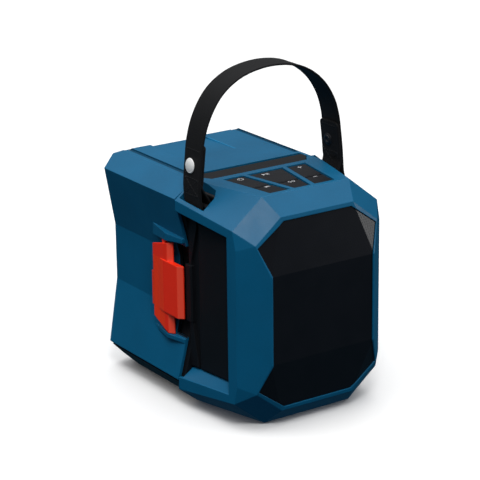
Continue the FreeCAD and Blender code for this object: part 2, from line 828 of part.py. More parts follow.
def cover_top_details(body):
    groove = [("groove_inner", "groove_front"), ("cover_crown_half", "groove_front"),
              ("cover_crown_half", "cover_back + 1"), ("groove_inner", "cover_back + 1")]
    pocket(body, polygon(body, "XY", "cover_top", groove, mirror_x(groove)), "groove_depth")
    thumb = [("thumb_front", "cover_top"), ("cover_shoulder", "cover_top - thumb_depth"),
             ("cover_back + 1", "cover_top - thumb_depth - back_bevel_drop"),
             ("cover_back + 1", "cover_top + 1"), ("thumb_front", "cover_top + 1")]
    pocket(body, polygon(body, "YZ", "thumb_right", thumb), "thumb_left + thumb_right")
    right, left = "bar_half + bar_fit", "-bar_half - bar_fit - bar_swing"
    notch = [(right, "-cover_seam - 1"), (right, "bar_back + bar_fit"),
             (left, "bar_back + bar_fit"), (left, "-cover_seam - 1")]
    pocket(body, polygon(body, "XY", "cover_top + 1", notch), "wall + 6")


def cover_hinge(body):
    low = "knuckle_low + knuckle_length + knuckle_gap"
    length = "knuckle_high - knuckle_low - 2 * knuckle_length - 2 * knuckle_gap"
    arm = [("waist_half - wall / 2", "-cover_seam"), ("hinge_side", "-cover_seam"),
           ("hinge_side", "-hinge_depth + hinge_radius"),
           ("waist_half - wall / 2", "-hinge_depth + hinge_radius + 4")]
    pad(body, polygon(body, "XY", low, arm), length)
    pad(body, circles(body, "XY", low, ("hinge_side", "-hinge_depth", "hinge_radius")), length)
    bore = ("hinge_side", "-hinge_depth", "hinge_pin_radius + hinge_play")
    pocket(body, circles(body, "XY", "knuckle_high", bore), "knuckle_high - knuckle_low")


def rear_skid():
    """Black base that wraps the underside of the cover."""
    body = new_body("rear_skid")
    gap = "skid_gap"
    run = "(seam_half - cover_floor_half) / (cover_edge_low - cover_floor)"
    inner_top = f"cover_floor_half + (skid_top - cover_floor) * {run} + skid_gap"
    outline = [("skid_top_half", "skid_top"), ("skid_half", "0"), ("-skid_half", "0"),
               ("-skid_top_half", "skid_top"), (f"-({inner_top})", "skid_top"),
               ("-cover_floor_half", f"cover_floor - {gap}"),
               ("cover_floor_half", f"cover_floor - {gap}"), (inner_top, "skid_top")]
    pad(body, polygon(body, "XZ", "cover_seam - 1", outline), "cover_seam - 1 + cover_shoulder - 2",
        back=True)
    slope = [("skid_back", "-1"), ("skid_back", "0"), ("cover_shoulder - 1", "skid_top / 2"),
             ("cover_shoulder + 4", "skid_top / 2"), ("cover_shoulder + 4", "-1")]
    pocket(body, polygon(body, "YZ", "skid_top_half + 2", slope), "2 * skid_top_half + 4")


# Chassis

def inset_section(shift, top, low):
    """The cover's section moved inward, cut off at a top and a bottom height."""
    fall = "((cover_top - cover_edge_top) / (seam_half - cover_crown_half))"
    rise = "((cover_edge_low - cover_floor) / (seam_half - cover_floor_half))"
    crown = f"seam_half - (({top}) - cover_edge_top + 1.19 * ({shift})) / {fall}"
    base = f"seam_half - (cover_edge_low - ({low}) + 1.31 * ({shift})) / {rise}"
    return both_sides([(crown, top),
                       (f"seam_half - 1.15 * ({shift})", f"cover_edge_top - 0.45 * ({shift})"),
                       (f"waist_half - ({shift})", "waist_top"),
                       (f"waist_half - ({shift})", "waist_low"),
                       (f"seam_half - 1.13 * ({shift})", f"cover_edge_low + 0.36 * ({shift})"),
                       (base, low)])


def core_chassis():
    body = new_body("core_chassis")
    bar_low = "bar_top - bar_high"
    floor = "cover_floor + wall + bulk_gap"
    bulk = inset_section("wall + bulk_gap", bar_low, floor)
    pad(body, polygon(body, "XZ", "bulk_front", bulk), "bulk_front + bulk_back", back=True)
    box = both_sides([("box_half", "box_top"), ("box_half", "box_low")])
    pad(body, polygon(body, "XZ", "box_front", box), "box_front - bulk_front + 1", back=True)
    room = both_sides([("box_half - box_wall", "box_top - box_wall"),
                       ("box_half - box_wall", "box_low + box_wall")])
    pocket(body, polygon(body, "XZ", "box_front", room), "box_front - bulk_front + 2")
    side_strips(body)
    chassis_hinge(body)
    catch = mirror_x([("waist_half - wall - bulk_gap - 1", "-catch_front"),
                      ("catch_side - 1", "-catch_front"),
                      ("catch_side", "-catch_front + 1"), ("catch_side", "-cover_seam - 1"),
                      ("waist_half - wall - bulk_gap - 1", "-cover_seam - 1")])
    pad(body, polygon(body, "XY", "catch_low", catch), "catch_high - catch_low")
    catch_screen(body)
    corner = [("slot_inner - well_wall - 0.4", "height"), ("seam_half + 2", "height"),
              ("seam_half + 2", "well_floor - well_wall - 0.4"),
              ("slot_inner - well_wall - 0.4", "well_floor - well_wall - 0.4")]
    pocket(body, polygon(body, "XZ", "bulk_front", corner, mirror_x(corner)),
           "bulk_front - cover_seam - 1")
    outside = inset_section("wall + bulk_gap - 1.2", "bar_top - bar_high + 1", floor + " - 1")
    seat = inset_section("wall + bulk_gap + 1.25", "bar_top - bar_high - 1.25", floor + " + 1.25")
    pocket(body, polygon(body, "XZ", "cover_seam + 0.4", outside, seat), "2.2")
    holes = [(f"{side}screw_side", height, "screw_radius + 0.15")
             for side in ("", "-") for height in ("screw_top", "screw_low")]
    pocket(body, circles(body, "XZ", "bulk_front", *holes), "bulk_front + bulk_back")
    return body


def catch_screen(body):
    """Wall behind the opening beside the latch."""
    shift = "wall + bulk_gap + 0.7"
    high = "latch_high + 1"
    low = "latch_low - 1"
    upper = f"({high} - waist_top) / (cover_edge_top - waist_top)"
    lower = f"(waist_low - ({low})) / (waist_low - cover_edge_low)"
    top = f"waist_half - ({shift}) + waist_inset * {upper}"
    base = f"waist_half - ({shift}) + waist_inset * {lower}"
    side = f"waist_half - ({shift})"
    outline = mirror_x([(top, high), (side, "waist_top"), (side, "waist_low"), (base, low),
                        (f"{base} - 2.2", low), (f"{side} - 2.2", "waist_low"),
                        (f"{side} - 2.2", "waist_top"), (f"{top} - 2.2", high)])
    pad(body, polygon(body, "XZ", "-bulk_back + 1", outline), "catch_hole_rear - bulk_back + 1.7",
        back=True)


def side_strips(body):
    """Raised waisted strip on each side of the box, next to the seam."""
    strip = [("-bulk_front", "recess_low_seam + sill_rise + panel_lift + 0.4"),
             ("-bulk_front - strip_wide", "recess_low_seam + sill_rise + panel_lift + 1.6"),
             ("-bulk_front - strip_narrow", "waist_low"), ("-bulk_front - strip_narrow", "waist_top + 2"),
             ("-bulk_front - strip_wide", "box_top - 9"), ("-bulk_front - strip_wide", "box_top - 1"),
             ("-bulk_front", "box_top - 1")]
    pad(body, polygon(body, "YZ", "box_half", strip), "strip_proud")
    pad(body, polygon(body, "YZ", "-box_half", strip), "strip_proud", back=True)


def chassis_hinge(body):
    arm = [("waist_half - wall - bulk_gap - 1", "-hinge_depth - hinge_radius"),
           ("hinge_side", "-hinge_depth - hinge_radius"),
           ("hinge_side", "-hinge_depth - hinge_radius + arm_thick"),
           ("waist_half - wall - bulk_gap - 1", "-hinge_depth - hinge_radius + arm_thick")]
    for low in ("knuckle_low", "knuckle_high - knuckle_length"):
        pad(body, polygon(body, "XY", low, arm), "knuckle_length")
        pad(body, circles(body, "XY", low, ("hinge_side", "-hinge_depth", "hinge_radius")),
            "knuckle_length")
    hole = circles(body, "XY", "knuckle_high", ("hinge_side", "-hinge_depth", "hinge_pin_radius"))
    pocket(body, hole, "knuckle_high - knuckle_low")


def cover_seal():
    """Rubber ring in the groove round the bulkhead."""
    body = new_body("cover_seal")
    floor = "cover_floor + wall + bulk_gap"
    outer = inset_section("wall + bulk_gap - 0.35", "bar_top - bar_high", floor + " - 0.35")
    inner = inset_section("wall + bulk_gap + 1.2", "bar_top - bar_high - 1.2", floor + " + 1.2")
    pad(body, polygon(body, "XZ", "cover_seam + 0.3", outer), "2", back=True)
    pocket(body, polygon(body, "XZ", "cover_seam + 0.3", inner), "2")


def hinge_pin():
    body = new_body("hinge_pin")
    pin = circles(body, "XY", "knuckle_low - 1", ("hinge_side", "-hinge_depth", "hinge_pin_radius"))
    pad(body, pin, "knuckle_high - knuckle_low + 1")
    head = circles(body, "XY", "knuckle_high", ("hinge_side", "-hinge_depth", "hinge_pin_radius + 1"))
    pad(body, head, "1")


def side_panels():
    for name, side, back in (("side_panel_right", "box_half", False), ("side_panel_left", "-box_half", True)):
        body = new_body(name)
        outline = [("-panel_front", "recess_low_front + sill_rise + panel_lift"),
                   ("-panel_front", "panel_top"), ("-panel_back", "panel_top"),
                   ("-panel_back", "recess_low_seam + sill_rise + panel_lift + 1.6")]
        pad(body, polygon(body, "YZ", side, outline), "panel_thick", back=back)


def top_bar():
    """Rounded bar that fills the notch across the top seam."""
    body = new_body("top_bar")
    outline = both_sides([("bar_half", "bar_back"), ("bar_half", "0"), ("bar_half - bar_cut", "-bar_front")])
    pad(body, polygon(body, "XY", "bar_top - bar_high", outline), "bar_high")
    doc.recompute()
    top = size("bar_top")
    edges = [f"Edge{number}" for number, edge in enumerate(body.Shape.Edges, 1)
             if edge.BoundBox.XLength > size("bar_half") and abs(edge.BoundBox.ZMin - top) < 1e-6]
    whole = body.Tip
    rounding = body.newObject("PartDesign::Fillet", "Fillet")
    rounding.Base = (whole, edges)
    rounding.setExpression("Radius", bound("bar_round"))


# Latch

def latch():
    """Rocker latch: a tall slim plate on its pin, with a wide wing to the front and the rear."""
    body = new_body("latch")
    wing = mirror_x([("latch_back", "wing_rear"), ("latch_back + 1.6", "wing_rear"),
                     ("latch_face", "latch_depth - 1.8"), ("latch_face", "-0.5"),
                     ("latch_back + 0.9", "-wing_front"), ("latch_back", "-wing_front")])
    pad(body, polygon(body, "XY", "wing_low", wing), "wing_high - wing_low")
    rear = [("latch_depth + 3", "wing_high + 1"), ("latch_depth + 3", "wing_high"),
            ("latch_depth + 9", "wing_rear_high"), ("wing_rear + 1", "wing_rear_high - 3"),
            ("wing_rear + 1", "wing_high + 1")]
    pocket(body, polygon(body, "YZ", "-latch_back + 1", rear), "8")
    tall = "latch_high - latch_low"
    slim = mirror_x([("latch_back + 0.9", "slim_rear"), ("latch_back + 2.6", "slim_rear"),
                     ("latch_face - 0.7", "latch_depth - 1.5"), ("latch_face - 0.7", "slim_front + 4"),
                     ("latch_back + 0.8", "slim_front"), ("latch_back", "slim_front")])
    pad(body, polygon(body, "XY", "latch_low", slim), tall)
    beyond = "slim_rear + 5"
    crown = [("slim_front - 0.5", "latch_high + 1"), ("slim_front - 0.5", "latch_high"),
             (beyond, "latch_high - 8"), (beyond, "latch_high + 1")]
    toe = [("latch_depth - 6", "latch_low - 1"), ("latch_depth - 6", "latch_low"),
           (beyond, "latch_low + 9.5"), (beyond, "latch_low - 1")]
    pocket(body, polygon(body, "YZ", "-latch_back + 4", crown, toe), "14")
    hub = ("-latch_side", "latch_depth", "latch_hub")
    pad(body, circles(body, "XY", "wing_low", hub), "latch_high - wing_low")
    hole = ("-latch_side", "latch_depth", "latch_pin_radius + latch_play")
    pocket(body, circles(body, "XY", "latch_high + 1", hole), "latch_high - latch_low + 2")


def latch_pin():
    body = new_body("latch_pin")
    pin = circles(body, "XY", "latch_low - latch_gap - 2", ("-latch_side", "latch_depth", "latch_pin_radius"))
    pad(body, pin, "latch_high - latch_low + 2 * latch_gap + 5")


# Keys, mat and board

KEY_NAMES = {
    (-1, 0): "key_power", (-1, 1): "key_source",
    (0, 0): "key_play", (0, 1): "key_pair",
    (1, 0): "key_volume_up", (1, 1): "key_volume_down",
}


def key_levels():
    """Heights of the key's cap top, flange top and flange bottom, and of the mat top."""
    under = size("height") - size("wall") - 0.02
    flange_low = under - size("key_flange_thick")
    mat_top = flange_low - size("key_travel") - size("stop_height") - 0.02
    return size("height") - size("key_sink"), under, flange_low, mat_top


def key_reach(row):
    middle = size("key_split")
    half = size("key_gap") / 2
    if row == 0:
        return size("pad_back"), middle - half
    return middle + half, size("pad_front")


def lofted(low_points, high_points):
    wires = [Part.makePolygon(points + points[:1]) for points in (low_points, high_points)]
    return Part.makeLoft(wires, True, True)


def keys():
    cap_top, under, flange_low, mat_top = key_levels()
    fit = size("key_fit")
    for (column, row), name in KEY_NAMES.items():
        back, front = key_reach(row)
        flange = prism(pad_outline(column, back, front, size("key_flange"), flange_low),
                       (0, 0, size("key_flange_thick")))
        shoulder = cap_top - size("key_bevel")
        stem = prism(pad_outline(column, back, front, -fit, under), (0, 0, shoulder - under))
        bevel = lofted(pad_outline(column, back, front, -fit, shoulder),
                       pad_outline(column, back, front, -fit - size("key_bevel"), cap_top))
        shaped(name, flange.fuse([stem, bevel]).removeSplitter())


def keypad_mat():
    """Rubber mat under the keys, with a stop below each."""
    mat_top = key_levels()[3]
    half_back = size("pad_back_half") + 1.5
    half_front = size("pad_front_half") + 1
    back = size("pad_back") - 0.4
    front = size("pad_front") + 1.5
    low = mat_top - size("mat_thick")
    outline = [V(-half_back, -back, low), V(half_back, -back, low),
               V(half_front, -front, low), V(-half_front, -front, low)]
    mat = prism(outline, (0, 0, size("mat_thick")))
    stops = []
    for column, row in KEY_NAMES:
        back, front = key_reach(row)
        corners = pad_outline(column, back, front, 0, mat_top)
        centre = (corners[0] + corners[1] + corners[2] + corners[3]) * 0.25
        half = size("stop_half")
        stops.append(block((centre.x - half, centre.y - half, mat_top),
                           (centre.x + half, centre.y + half, mat_top + size("stop_height"))))
    shaped("keypad_mat", mat.fuse(stops).removeSplitter())
    half_back = size("pad_back_half") + 8
    half_front = size("pad_front_half") + 7
    low = low - size("board_thick")
    outline = [V(-half_back, -size("pad_back"), low), V(half_back, -size("pad_back"), low),
               V(half_front, -front, low), V(-half_front, -front, low)]
    shaped("key_board", prism(outline, (0, 0, size("board_thick"))))


# Sound parts

def turned(section, height):
    """Solid swung round a speaker's axis, in small flat steps so that its facets stay few."""
    steps = 48
    faces = []

    def spot(radius, depth, step):
        angle = 2 * math.pi * step / steps
        return V(radius * math.cos(angle), depth, height + radius * math.sin(angle))

    for step in range(steps):
        for near, far in zip(section, section[1:] + section[:1]):
            corners = [spot(*near, step), spot(*near, step + 1), spot(*far, step + 1), spot(*far, step)]
            if near[0] == 0:
                corners.pop(0)
            if far[0] == 0:
                corners.pop()
            if len(corners) > 2:
                faces.append(Part.Face(Part.makePolygon(corners + corners[:1])))
    return Part.makeSolid(Part.makeShell(faces)).removeSplitter()


def disc(radius, depth, thick, height):
    return turned([(0, depth), (radius, depth), (radius, depth + thick), (0, depth + thick)], height)


def baffle():
    body = new_body("baffle")
    outline = both_sides([("baffle_half - baffle_cut", "height - baffle_drop"),
                          ("baffle_half", "height - baffle_edge_drop"),
                          ("baffle_half", "floor_gap + baffle_edge_drop"),
                          ("baffle_half - baffle_cut", "floor_gap + baffle_drop")])
    pad(body, polygon(body, "XZ", "box_front", outline), "baffle_thick")
    holes = circles(body, "XZ", "box_front + baffle_thick",
                    ("0", "driver_height", "cone_radius + 5"), ("0", "passive_height", "passive_radius - 3"))
    pocket(body, holes, "baffle_thick")


def roll(inner, flange, base, height):
    """Rubber ring with a raised roll between an inner and an outer flange."""
    centre = inner + 2
    return turned([(inner - 2, base), (inner - 2, base - 0.7), (centre - 2.2, base - 0.7),
                   (centre - 1.3, base - 2.2), (centre + 1.3, base - 2.2), (centre + 2.2, base - 0.7),
                   (centre + flange, base - 0.7), (centre + flange, base)], height)


def basket_arms(face, back, height):
    """Four sloping arms from the basket's rim to the magnet."""
    near = size("cone_radius") + 2.4
    far = size("magnet_radius") - 6
    arms = []
    for turn in (45, 135, 225, 315):
        outline = [V(near + 2.2, face, height), V(near - 0.2, face, height), V(far, back, height),
                   V(far + 4, back, height)]
        arm = prism(outline, (0, 0, 6))
        arm.translate(V(0, 0, -3))
        arm.rotate(V(0, 0, height), V(0, 1, 0), turn)
        arms.append(arm)
    return arms


def driver():
    face = -size("box_front") - size("baffle_thick")
    front = face - 1.6
    rim = size("driver_radius")
    cone = size("cone_radius")
    back = face + size("driver_depth")
    height = size("driver_height")
    neck = size("cap_radius") - 1
    frame = turned([(cone + 2.4, front), (rim, front), (rim, face), (cone + 2.4, face)], height)
    plate = disc(size("magnet_radius") - 1, back - 2, 2, height)
    basket = frame.fuse([plate] + basket_arms(face - 0.6, back, height))
    shaped("driver_basket", basket.removeSplitter())
    shaped("driver_magnet", disc(size("magnet_radius"), back, size("magnet_depth"), height))
    shaped("driver_surround", roll(cone, 6, front, height))
    section = [(neck, back - 7), (cone, front), (cone, front + 0.8), (neck, back - 6)]
    shaped("driver_cone", turned(section, height))
    section = [(0, back - 10.4), (neck - 2, back - 10), (neck + 0.6, back - 8.2), (0, back - 8.2)]
    shaped("driver_dust_cap", turned(section, height))


def passive_radiator():
    face = -size("box_front") - size("baffle_thick")
    inner = size("passive_radius") - 6
    height = size("passive_height")
    shaped("passive_surround", roll(inner, 4, face, height))
    shaped("passive_plate", disc(inner, face, 1.6, height))


# Battery dock, electronics and screws

def battery_dock():
    body = new_body("battery_rails")
    lip = [("rail_side", "bulk_back"), ("rail_side + 4", "bulk_back"),
           ("rail_side + 4", "bulk_back + rail_depth"),
           ("rail_side - 4", "bulk_back + rail_depth"), ("rail_side - 4", "bulk_back + rail_depth - 3"),
           ("rail_side", "bulk_back + rail_depth - 3")]
    plate = [("-rail_side - 4", "bulk_back"), ("rail_side + 4", "bulk_back"),
             ("rail_side + 4", "bulk_back + 2"), ("-rail_side - 4", "bulk_back + 2")]
    pad(body, polygon(body, "XY", "rail_low", plate), "rail_high - rail_low")
    pad(body, polygon(body, "XY", "rail_low", lip), "rail_high - rail_low")
    pad(body, polygon(body, "XY", "rail_low", mirror_x(lip)), "rail_high - rail_low")
    body = new_body("battery_terminals")
    outline = both_sides([("terminal_half", "terminal_high"), ("terminal_half", "terminal_low")])
    pad(body, polygon(body, "XZ", "-bulk_back - 2", outline), "terminal_depth", back=True)
    slits = []
    for centre in ("-1.5 * slit_spacing", "-0.5 * slit_spacing", "0.5 * slit_spacing", "1.5 * slit_spacing"):
        slits.append([(f"{centre} - 1", "terminal_high - 4"), (f"{centre} + 1", "terminal_high - 4"),
                      (f"{centre} + 1", "terminal_low + 4"), (f"{centre} - 1", "terminal_low + 4")])
    pocket(body, polygon(body, "XZ", "-bulk_back - 2 - terminal_depth", *slits), "terminal_depth - 4",
           back=True)


def electronics():
    body = new_body("main_board")
    outline = both_sides([("board_half", "board_high"), ("board_half", "board_low")])
    pad(body, polygon(body, "XZ", "bulk_front + board_thick", outline), "board_thick", back=True)
    body = new_body("aux_socket")
    centre = ("rail_side + 14", "box_top - 4")
    pad(body, circles(body, "XZ", "-bulk_back", (*centre, "socket_radius")), "4", back=True)
    bore = circles(body, "XZ", "-bulk_back - 4", (*centre, "socket_bore"))
    pocket(body, bore, "3.4", back=True)


def screws():
    group = []
    for upper in (True, False):
        start, end = screw_axis(upper)
        shaft = rod(size("screw_radius"), start, (end[0], end[1] + 2, end[2]))
        corners = []
        for turn in range(6):
            angle = math.radians(60 * turn)
            corners.append(V(start[0] + size("screw_head") * math.cos(angle), start[1],
                             start[2] + size("screw_head") * math.sin(angle)))
        screw = shaft.fuse(prism(corners, (0, 1.8, 0))).removeSplitter()
        group += [screw, mirrored(screw)]
    shaped("long_screws", Part.makeCompound(group))


# Strap

# The arch's middle line, in hundredths of its half width at the foot and of its rise
ARCH = ((-100, 0), (-100.6, 10.1), (-99.8, 20.8), (-97.2, 34.7), (-94.6, 49.7), (-88, 63.7), (-76.5, 76.1),
        (-59.4, 86.6), (-36.1, 95.6), (-8.7, 100), (18.2, 99.5), (38.2, 96), (57.2, 88.1), (75, 76.4),
        (85.6, 63), (91, 45), (93, 26.2), (95.4, 13.3), (100, 0))


def arch_foot():
    """Half width of the arch where it meets the bars."""
    return size("strap_bar_side") + size("strap_bar_radius") + size("strap_play") + size("strap_thick") / 2


def arch_spots():
    """Points on the middle line of the strap's arch, which leans a little to the left."""
    base = size("strap_bar_height") - size("strap_bar_radius") / 3
    return [(arch_foot() * across / 100, base + size("strap_rise") * height / 100)
            for across, height in ARCH]


def smooth(spots, depth=0):
    """Curve through points in a plane across the speaker."""
    curve = Part.BSplineCurve()
    curve.interpolate([V(across, depth, height) for across, height in spots])
    return curve


def moved_sideways(curve, first, last, count, reach):
    """Points beside a stretch of the curve, at a distance to the left of its direction."""
    spots = []
    for step in range(count + 1):
        place = first + (last - first) * step / count
        ahead = curve.tangent(place)[0]
        spot = curve.value(place) + V(-ahead.z, 0, ahead.x) * reach
        spots.append((spot.x, spot.z))
    return spots


def strap_path():
    """Middle line of the whole strap: tail, turn under the bar, arch, and the same on the right."""
    arch = smooth(arch_spots())
    first, last = arch.FirstParameter, arch.LastParameter
    span = last - first
    beside = -(size("strap_thick") + size("tail_gap"))
    left = moved_sideways(arch, first + span * 0.16, first + span * 0.06, 6, beside)
    right = moved_sideways(arch, last - span * 0.06, last - span * 0.16, 6, beside)
    bar, base = size("strap_bar_side"), size("strap_bar_height")
    wide = size("strap_bar_radius") + size("strap_play") + size("strap_thick") / 2
    low = base - size("strap_bar_radius") - size("strap_slack") - size("strap_thick") / 2
    radius, half = size("strap_bar_radius"), size("strap_thick") / 2
    turn = [(bar - wide, base + radius * 5 / 3), (bar - wide, base - radius * 8 / 9),
            (bar - wide * 0.72, low + half), (bar, low), (bar + wide * 0.72, low + half)]
    left_turn = [(-across, height) for across, height in turn]
    return smooth(left + left_turn + arch_spots() + turn[::-1] + right)


def side_arcs(curve, reach, depth):
    """One side of the strap as arcs, each through three knots of its middle line."""
    knots = curve.getKnots()
    edges = []
    for start, middle, end in zip(knots[::2], knots[1::2], knots[2::2]):
        spots = [moved_sideways(curve, place, place, 1, reach)[0] for place in (start, middle, end)]
        edges.append(Part.Arc(*[V(across, depth, height) for across, height in spots]).toShape())
    return edges


def strap():
    curve = strap_path()
    half = size("strap_thick") / 2
    front = -(size("slot_back") + size("slot_front") + size("strap_width")) / 2
    outer = side_arcs(curve, half, front)
    inner = side_arcs(curve, -half, front)
    left = Part.makeLine(inner[0].firstVertex().Point, outer[0].firstVertex().Point)
    right = Part.makeLine(outer[-1].lastVertex().Point, inner[-1].lastVertex().Point)
    outline = Part.Wire(Part.__sortEdges__(outer + inner + [left, right]))
    band = Part.Face(outline).extrude(V(0, size("strap_width"), 0))
    shaped("strap", band)
    return band


def snaps(band):
    """Head of a press stud on each sewn tail."""
    arch = smooth(arch_spots())
    for name, side in (("strap_snap_left", -1), ("strap_snap_right", 1)):
        place = arch.parameter(V(side * arch_foot(), 0, size("snap_height")))
        centre = arch.value(place)
        ahead = arch.tangent(place)[0]
        outward = V(-ahead.z, 0, ahead.x)
        centre = V(centre.x, -size("snap_depth"), centre.z)
        reach = size("strap_thick") / 2 + size("snap_proud")
        cap = Part.makeCylinder(size("snap_radius"), reach, centre, outward)
        shaped(name, cap.cut(band))


def report_faults():
    """Stop when an object of the document or the shape of a sub-part isn't sound."""
    doc.recompute()
    bad = [item.Name for item in doc.Objects if "Invalid" in item.State or "Error" in item.State]
    bad += [item.Label for item in parts if item.Shape.isNull() or not item.Shape.isValid()]
    if bad:
        raise ValueError(f"unsound: {bad}")


def write_parts():
    os.makedirs("parts", exist_ok=True)
    for item in parts:
        item.Shape.exportStep(f"parts/{item.Label}.step")


front_housing()
bars_and_feet()
speaker_grille()
rear_cover()
rear_skid()
core_chassis()
cover_seal()
hinge_pin()
side_panels()
top_bar()
latch()
latch_pin()
keys()
keypad_mat()
baffle()
driver()
passive_radiator()
battery_dock()
electronics()
screws()
snaps(strap())
report_faults()
write_parts()
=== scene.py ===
import json
import math

import bmesh
import bpy
from mathutils import Matrix, Vector


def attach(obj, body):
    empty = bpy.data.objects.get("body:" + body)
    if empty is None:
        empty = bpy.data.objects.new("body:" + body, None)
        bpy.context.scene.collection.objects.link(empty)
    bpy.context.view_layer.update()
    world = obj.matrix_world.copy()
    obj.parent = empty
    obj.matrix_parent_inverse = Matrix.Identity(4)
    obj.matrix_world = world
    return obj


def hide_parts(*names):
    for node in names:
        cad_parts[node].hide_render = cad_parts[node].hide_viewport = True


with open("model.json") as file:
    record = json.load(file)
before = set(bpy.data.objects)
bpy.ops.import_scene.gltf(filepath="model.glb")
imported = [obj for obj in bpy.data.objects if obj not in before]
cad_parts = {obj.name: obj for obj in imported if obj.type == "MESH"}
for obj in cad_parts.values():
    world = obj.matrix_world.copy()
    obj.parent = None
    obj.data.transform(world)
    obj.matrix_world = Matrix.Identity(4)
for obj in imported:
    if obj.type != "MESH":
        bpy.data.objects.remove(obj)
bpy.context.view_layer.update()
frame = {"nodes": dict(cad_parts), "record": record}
MM = 0.001


# Camera, solved from the photograph's vanishing lines and the body's symmetric corners

CAMERA_PLACE = (-0.7974, -1.1724, 0.5859)
CAMERA_ANGLES = (33.87, 18.44, -0.74)  # degrees to the right of +Y, below the horizon, and of roll
FOCAL_PIXELS = 2036.9
FRAME_PIXELS = 480
SENSOR_WIDTH = 36


def make_camera():
    """Camera at the photograph's viewing angle, with no shift and no depth of field."""
    place = Vector(CAMERA_PLACE)
    turn, dip, roll = (math.radians(angle) for angle in CAMERA_ANGLES)
    ahead = Vector((math.sin(turn) * math.cos(dip), math.cos(turn) * math.cos(dip), -math.sin(dip)))
    right = Vector((math.cos(turn), -math.sin(turn), 0))
    up = right.cross(ahead)
    level_right = right * math.cos(roll) + up * math.sin(roll)
    level_up = up * math.cos(roll) - right * math.sin(roll)
    data = bpy.data.cameras.new("photo_camera")
    data.sensor_width = SENSOR_WIDTH
    data.lens = FOCAL_PIXELS / FRAME_PIXELS * SENSOR_WIDTH
    data.clip_start = 0.05
    camera = bpy.data.objects.new("photo_camera", data)
    camera.matrix_world = Matrix((
        (level_right.x, level_up.x, -ahead.x, place.x),
        (level_right.y, level_up.y, -ahead.y, place.y),
        (level_right.z, level_up.z, -ahead.z, place.z),
        (0, 0, 0, 1)))
    bpy.context.scene.collection.objects.link(camera)
    bpy.context.scene.camera = camera


# Materials. Lengths in them are in metres, colours are linear

BLUE = (0.003, 0.091, 0.192)
BLACK = (0.005, 0.0058, 0.0076)
RED = (1.0, 0.028, 0.006)
# Lighter reds painted on the latch's rear wing and chamfers as highlights
RED_WING_HIGHLIGHT = (1.0, 0.044, 0.004)
RED_CHAMFER_HIGHLIGHT = (1.0, 0.08, 0.04)


class Shade:
    """A material under construction: adds nodes and wires them up."""

    def __init__(self, name):
        self.material = bpy.data.materials.new(name)
        self.material.use_nodes = True
        self.tree = self.material.node_tree
        self.shader = self.tree.nodes["Principled BSDF"]

    def node(self, kind, **settings):
        """A new node of this kind."""
        made = self.tree.nodes.new(f"ShaderNode{kind}")
        for key, value in settings.items():
            setattr(made, key, value)
        return made

    def feed(self, socket, value):
        """Wires an output to the socket, or sets the socket to a plain value."""
        if hasattr(value, "is_output"):
            self.tree.links.new(value, socket)
        else:
            socket.default_value = value

    def math(self, operation, first, second=0.0):
        """One sum of two values or sockets."""
        made = self.node("Math", operation=operation)
        self.feed(made.inputs[0], first)
        self.feed(made.inputs[1], second)
        return made.outputs[0]

    def noise(self, scale, detail=2.0, coords=None, rough=0.5):
        """Cloudy noise from 0 to 1, with this many repeats in a metre."""
        made = self.node("TexNoise")
        self.feed(made.inputs["Scale"], scale)
        self.feed(made.inputs["Detail"], detail)
        self.feed(made.inputs["Roughness"], rough)
        self.feed(made.inputs["Vector"], coords or self.coords())
        return made.outputs["Fac"]

    def coords(self):
        """Places in the part's own frame, in metres."""
        return self.node("TexCoord").outputs["Object"]

    def span(self, value, low, high, to_low=0.0, to_high=1.0):
        """The value moved from one range to another, and held at its ends."""
        made = self.node("MapRange")
        for number, item in enumerate((value, low, high, to_low, to_high)):
            self.feed(made.inputs[number], item)
        return made.outputs[0]

    def mix(self, amount, first, second):
        """Blend of two colours or colour sockets."""
        made = self.node("Mix", data_type="RGBA")
        self.feed(made.inputs[0], amount)
        self.feed(made.inputs[6], first if hasattr(first, "is_output") else (*first, 1))
        self.feed(made.inputs[7], second if hasattr(second, "is_output") else (*second, 1))
        return made.outputs[2]

    def place(self):
        """The x, y and z of a point of the surface, in the part's own frame."""
        split = self.node("SeparateXYZ")
        self.feed(split.inputs[0], self.coords())
        return split.outputs

    def within(self, value, low, high):
        """A mask that is one between the two limits."""
        above = self.math("GREATER_THAN", value, low)
        return self.math("MULTIPLY", above, self.math("LESS_THAN", value, high))

    def every(self, first, *others):
        """A mask that is one where all the masks are."""
        for other in others:
            first = self.math("MULTIPLY", first, other)
        return first

    def bump(self, height, strength, distance, normal=None):
        """Normal tilted by a height, on top of another normal if one is given."""
        made = self.node("Bump")
        made.inputs["Strength"].default_value = strength
        made.inputs["Distance"].default_value = distance
        self.feed(made.inputs["Height"], height)
        if normal is not None:
            self.feed(made.inputs["Normal"], normal)
        return made.outputs[0]

    def rounded(self, radius):
        """Normal that rounds the sharp edges, and a mask that is one along them."""
        bevel = self.node("Bevel", samples=6)
        bevel.inputs["Radius"].default_value = radius
        flat = self.node("NewGeometry").outputs["Normal"]
        dot = self.node("VectorMath", operation="DOT_PRODUCT")
        self.feed(dot.inputs[0], bevel.outputs[0])
        self.feed(dot.inputs[1], flat)
        return bevel.outputs[0], self.span(dot.outputs["Value"], 0.995, 0.86)

    def set(self, **values):
        """Feeds the shader's sockets, with underscores for the spaces in their names."""
        for key, value in values.items():
            self.feed(self.shader.inputs[key.replace("_", " ")], value)
        return self.material


def tint(color, factor):
    """The colour made darker or lighter, with no channel above one."""
    return tuple(min(1.0, part * factor) for part in color)


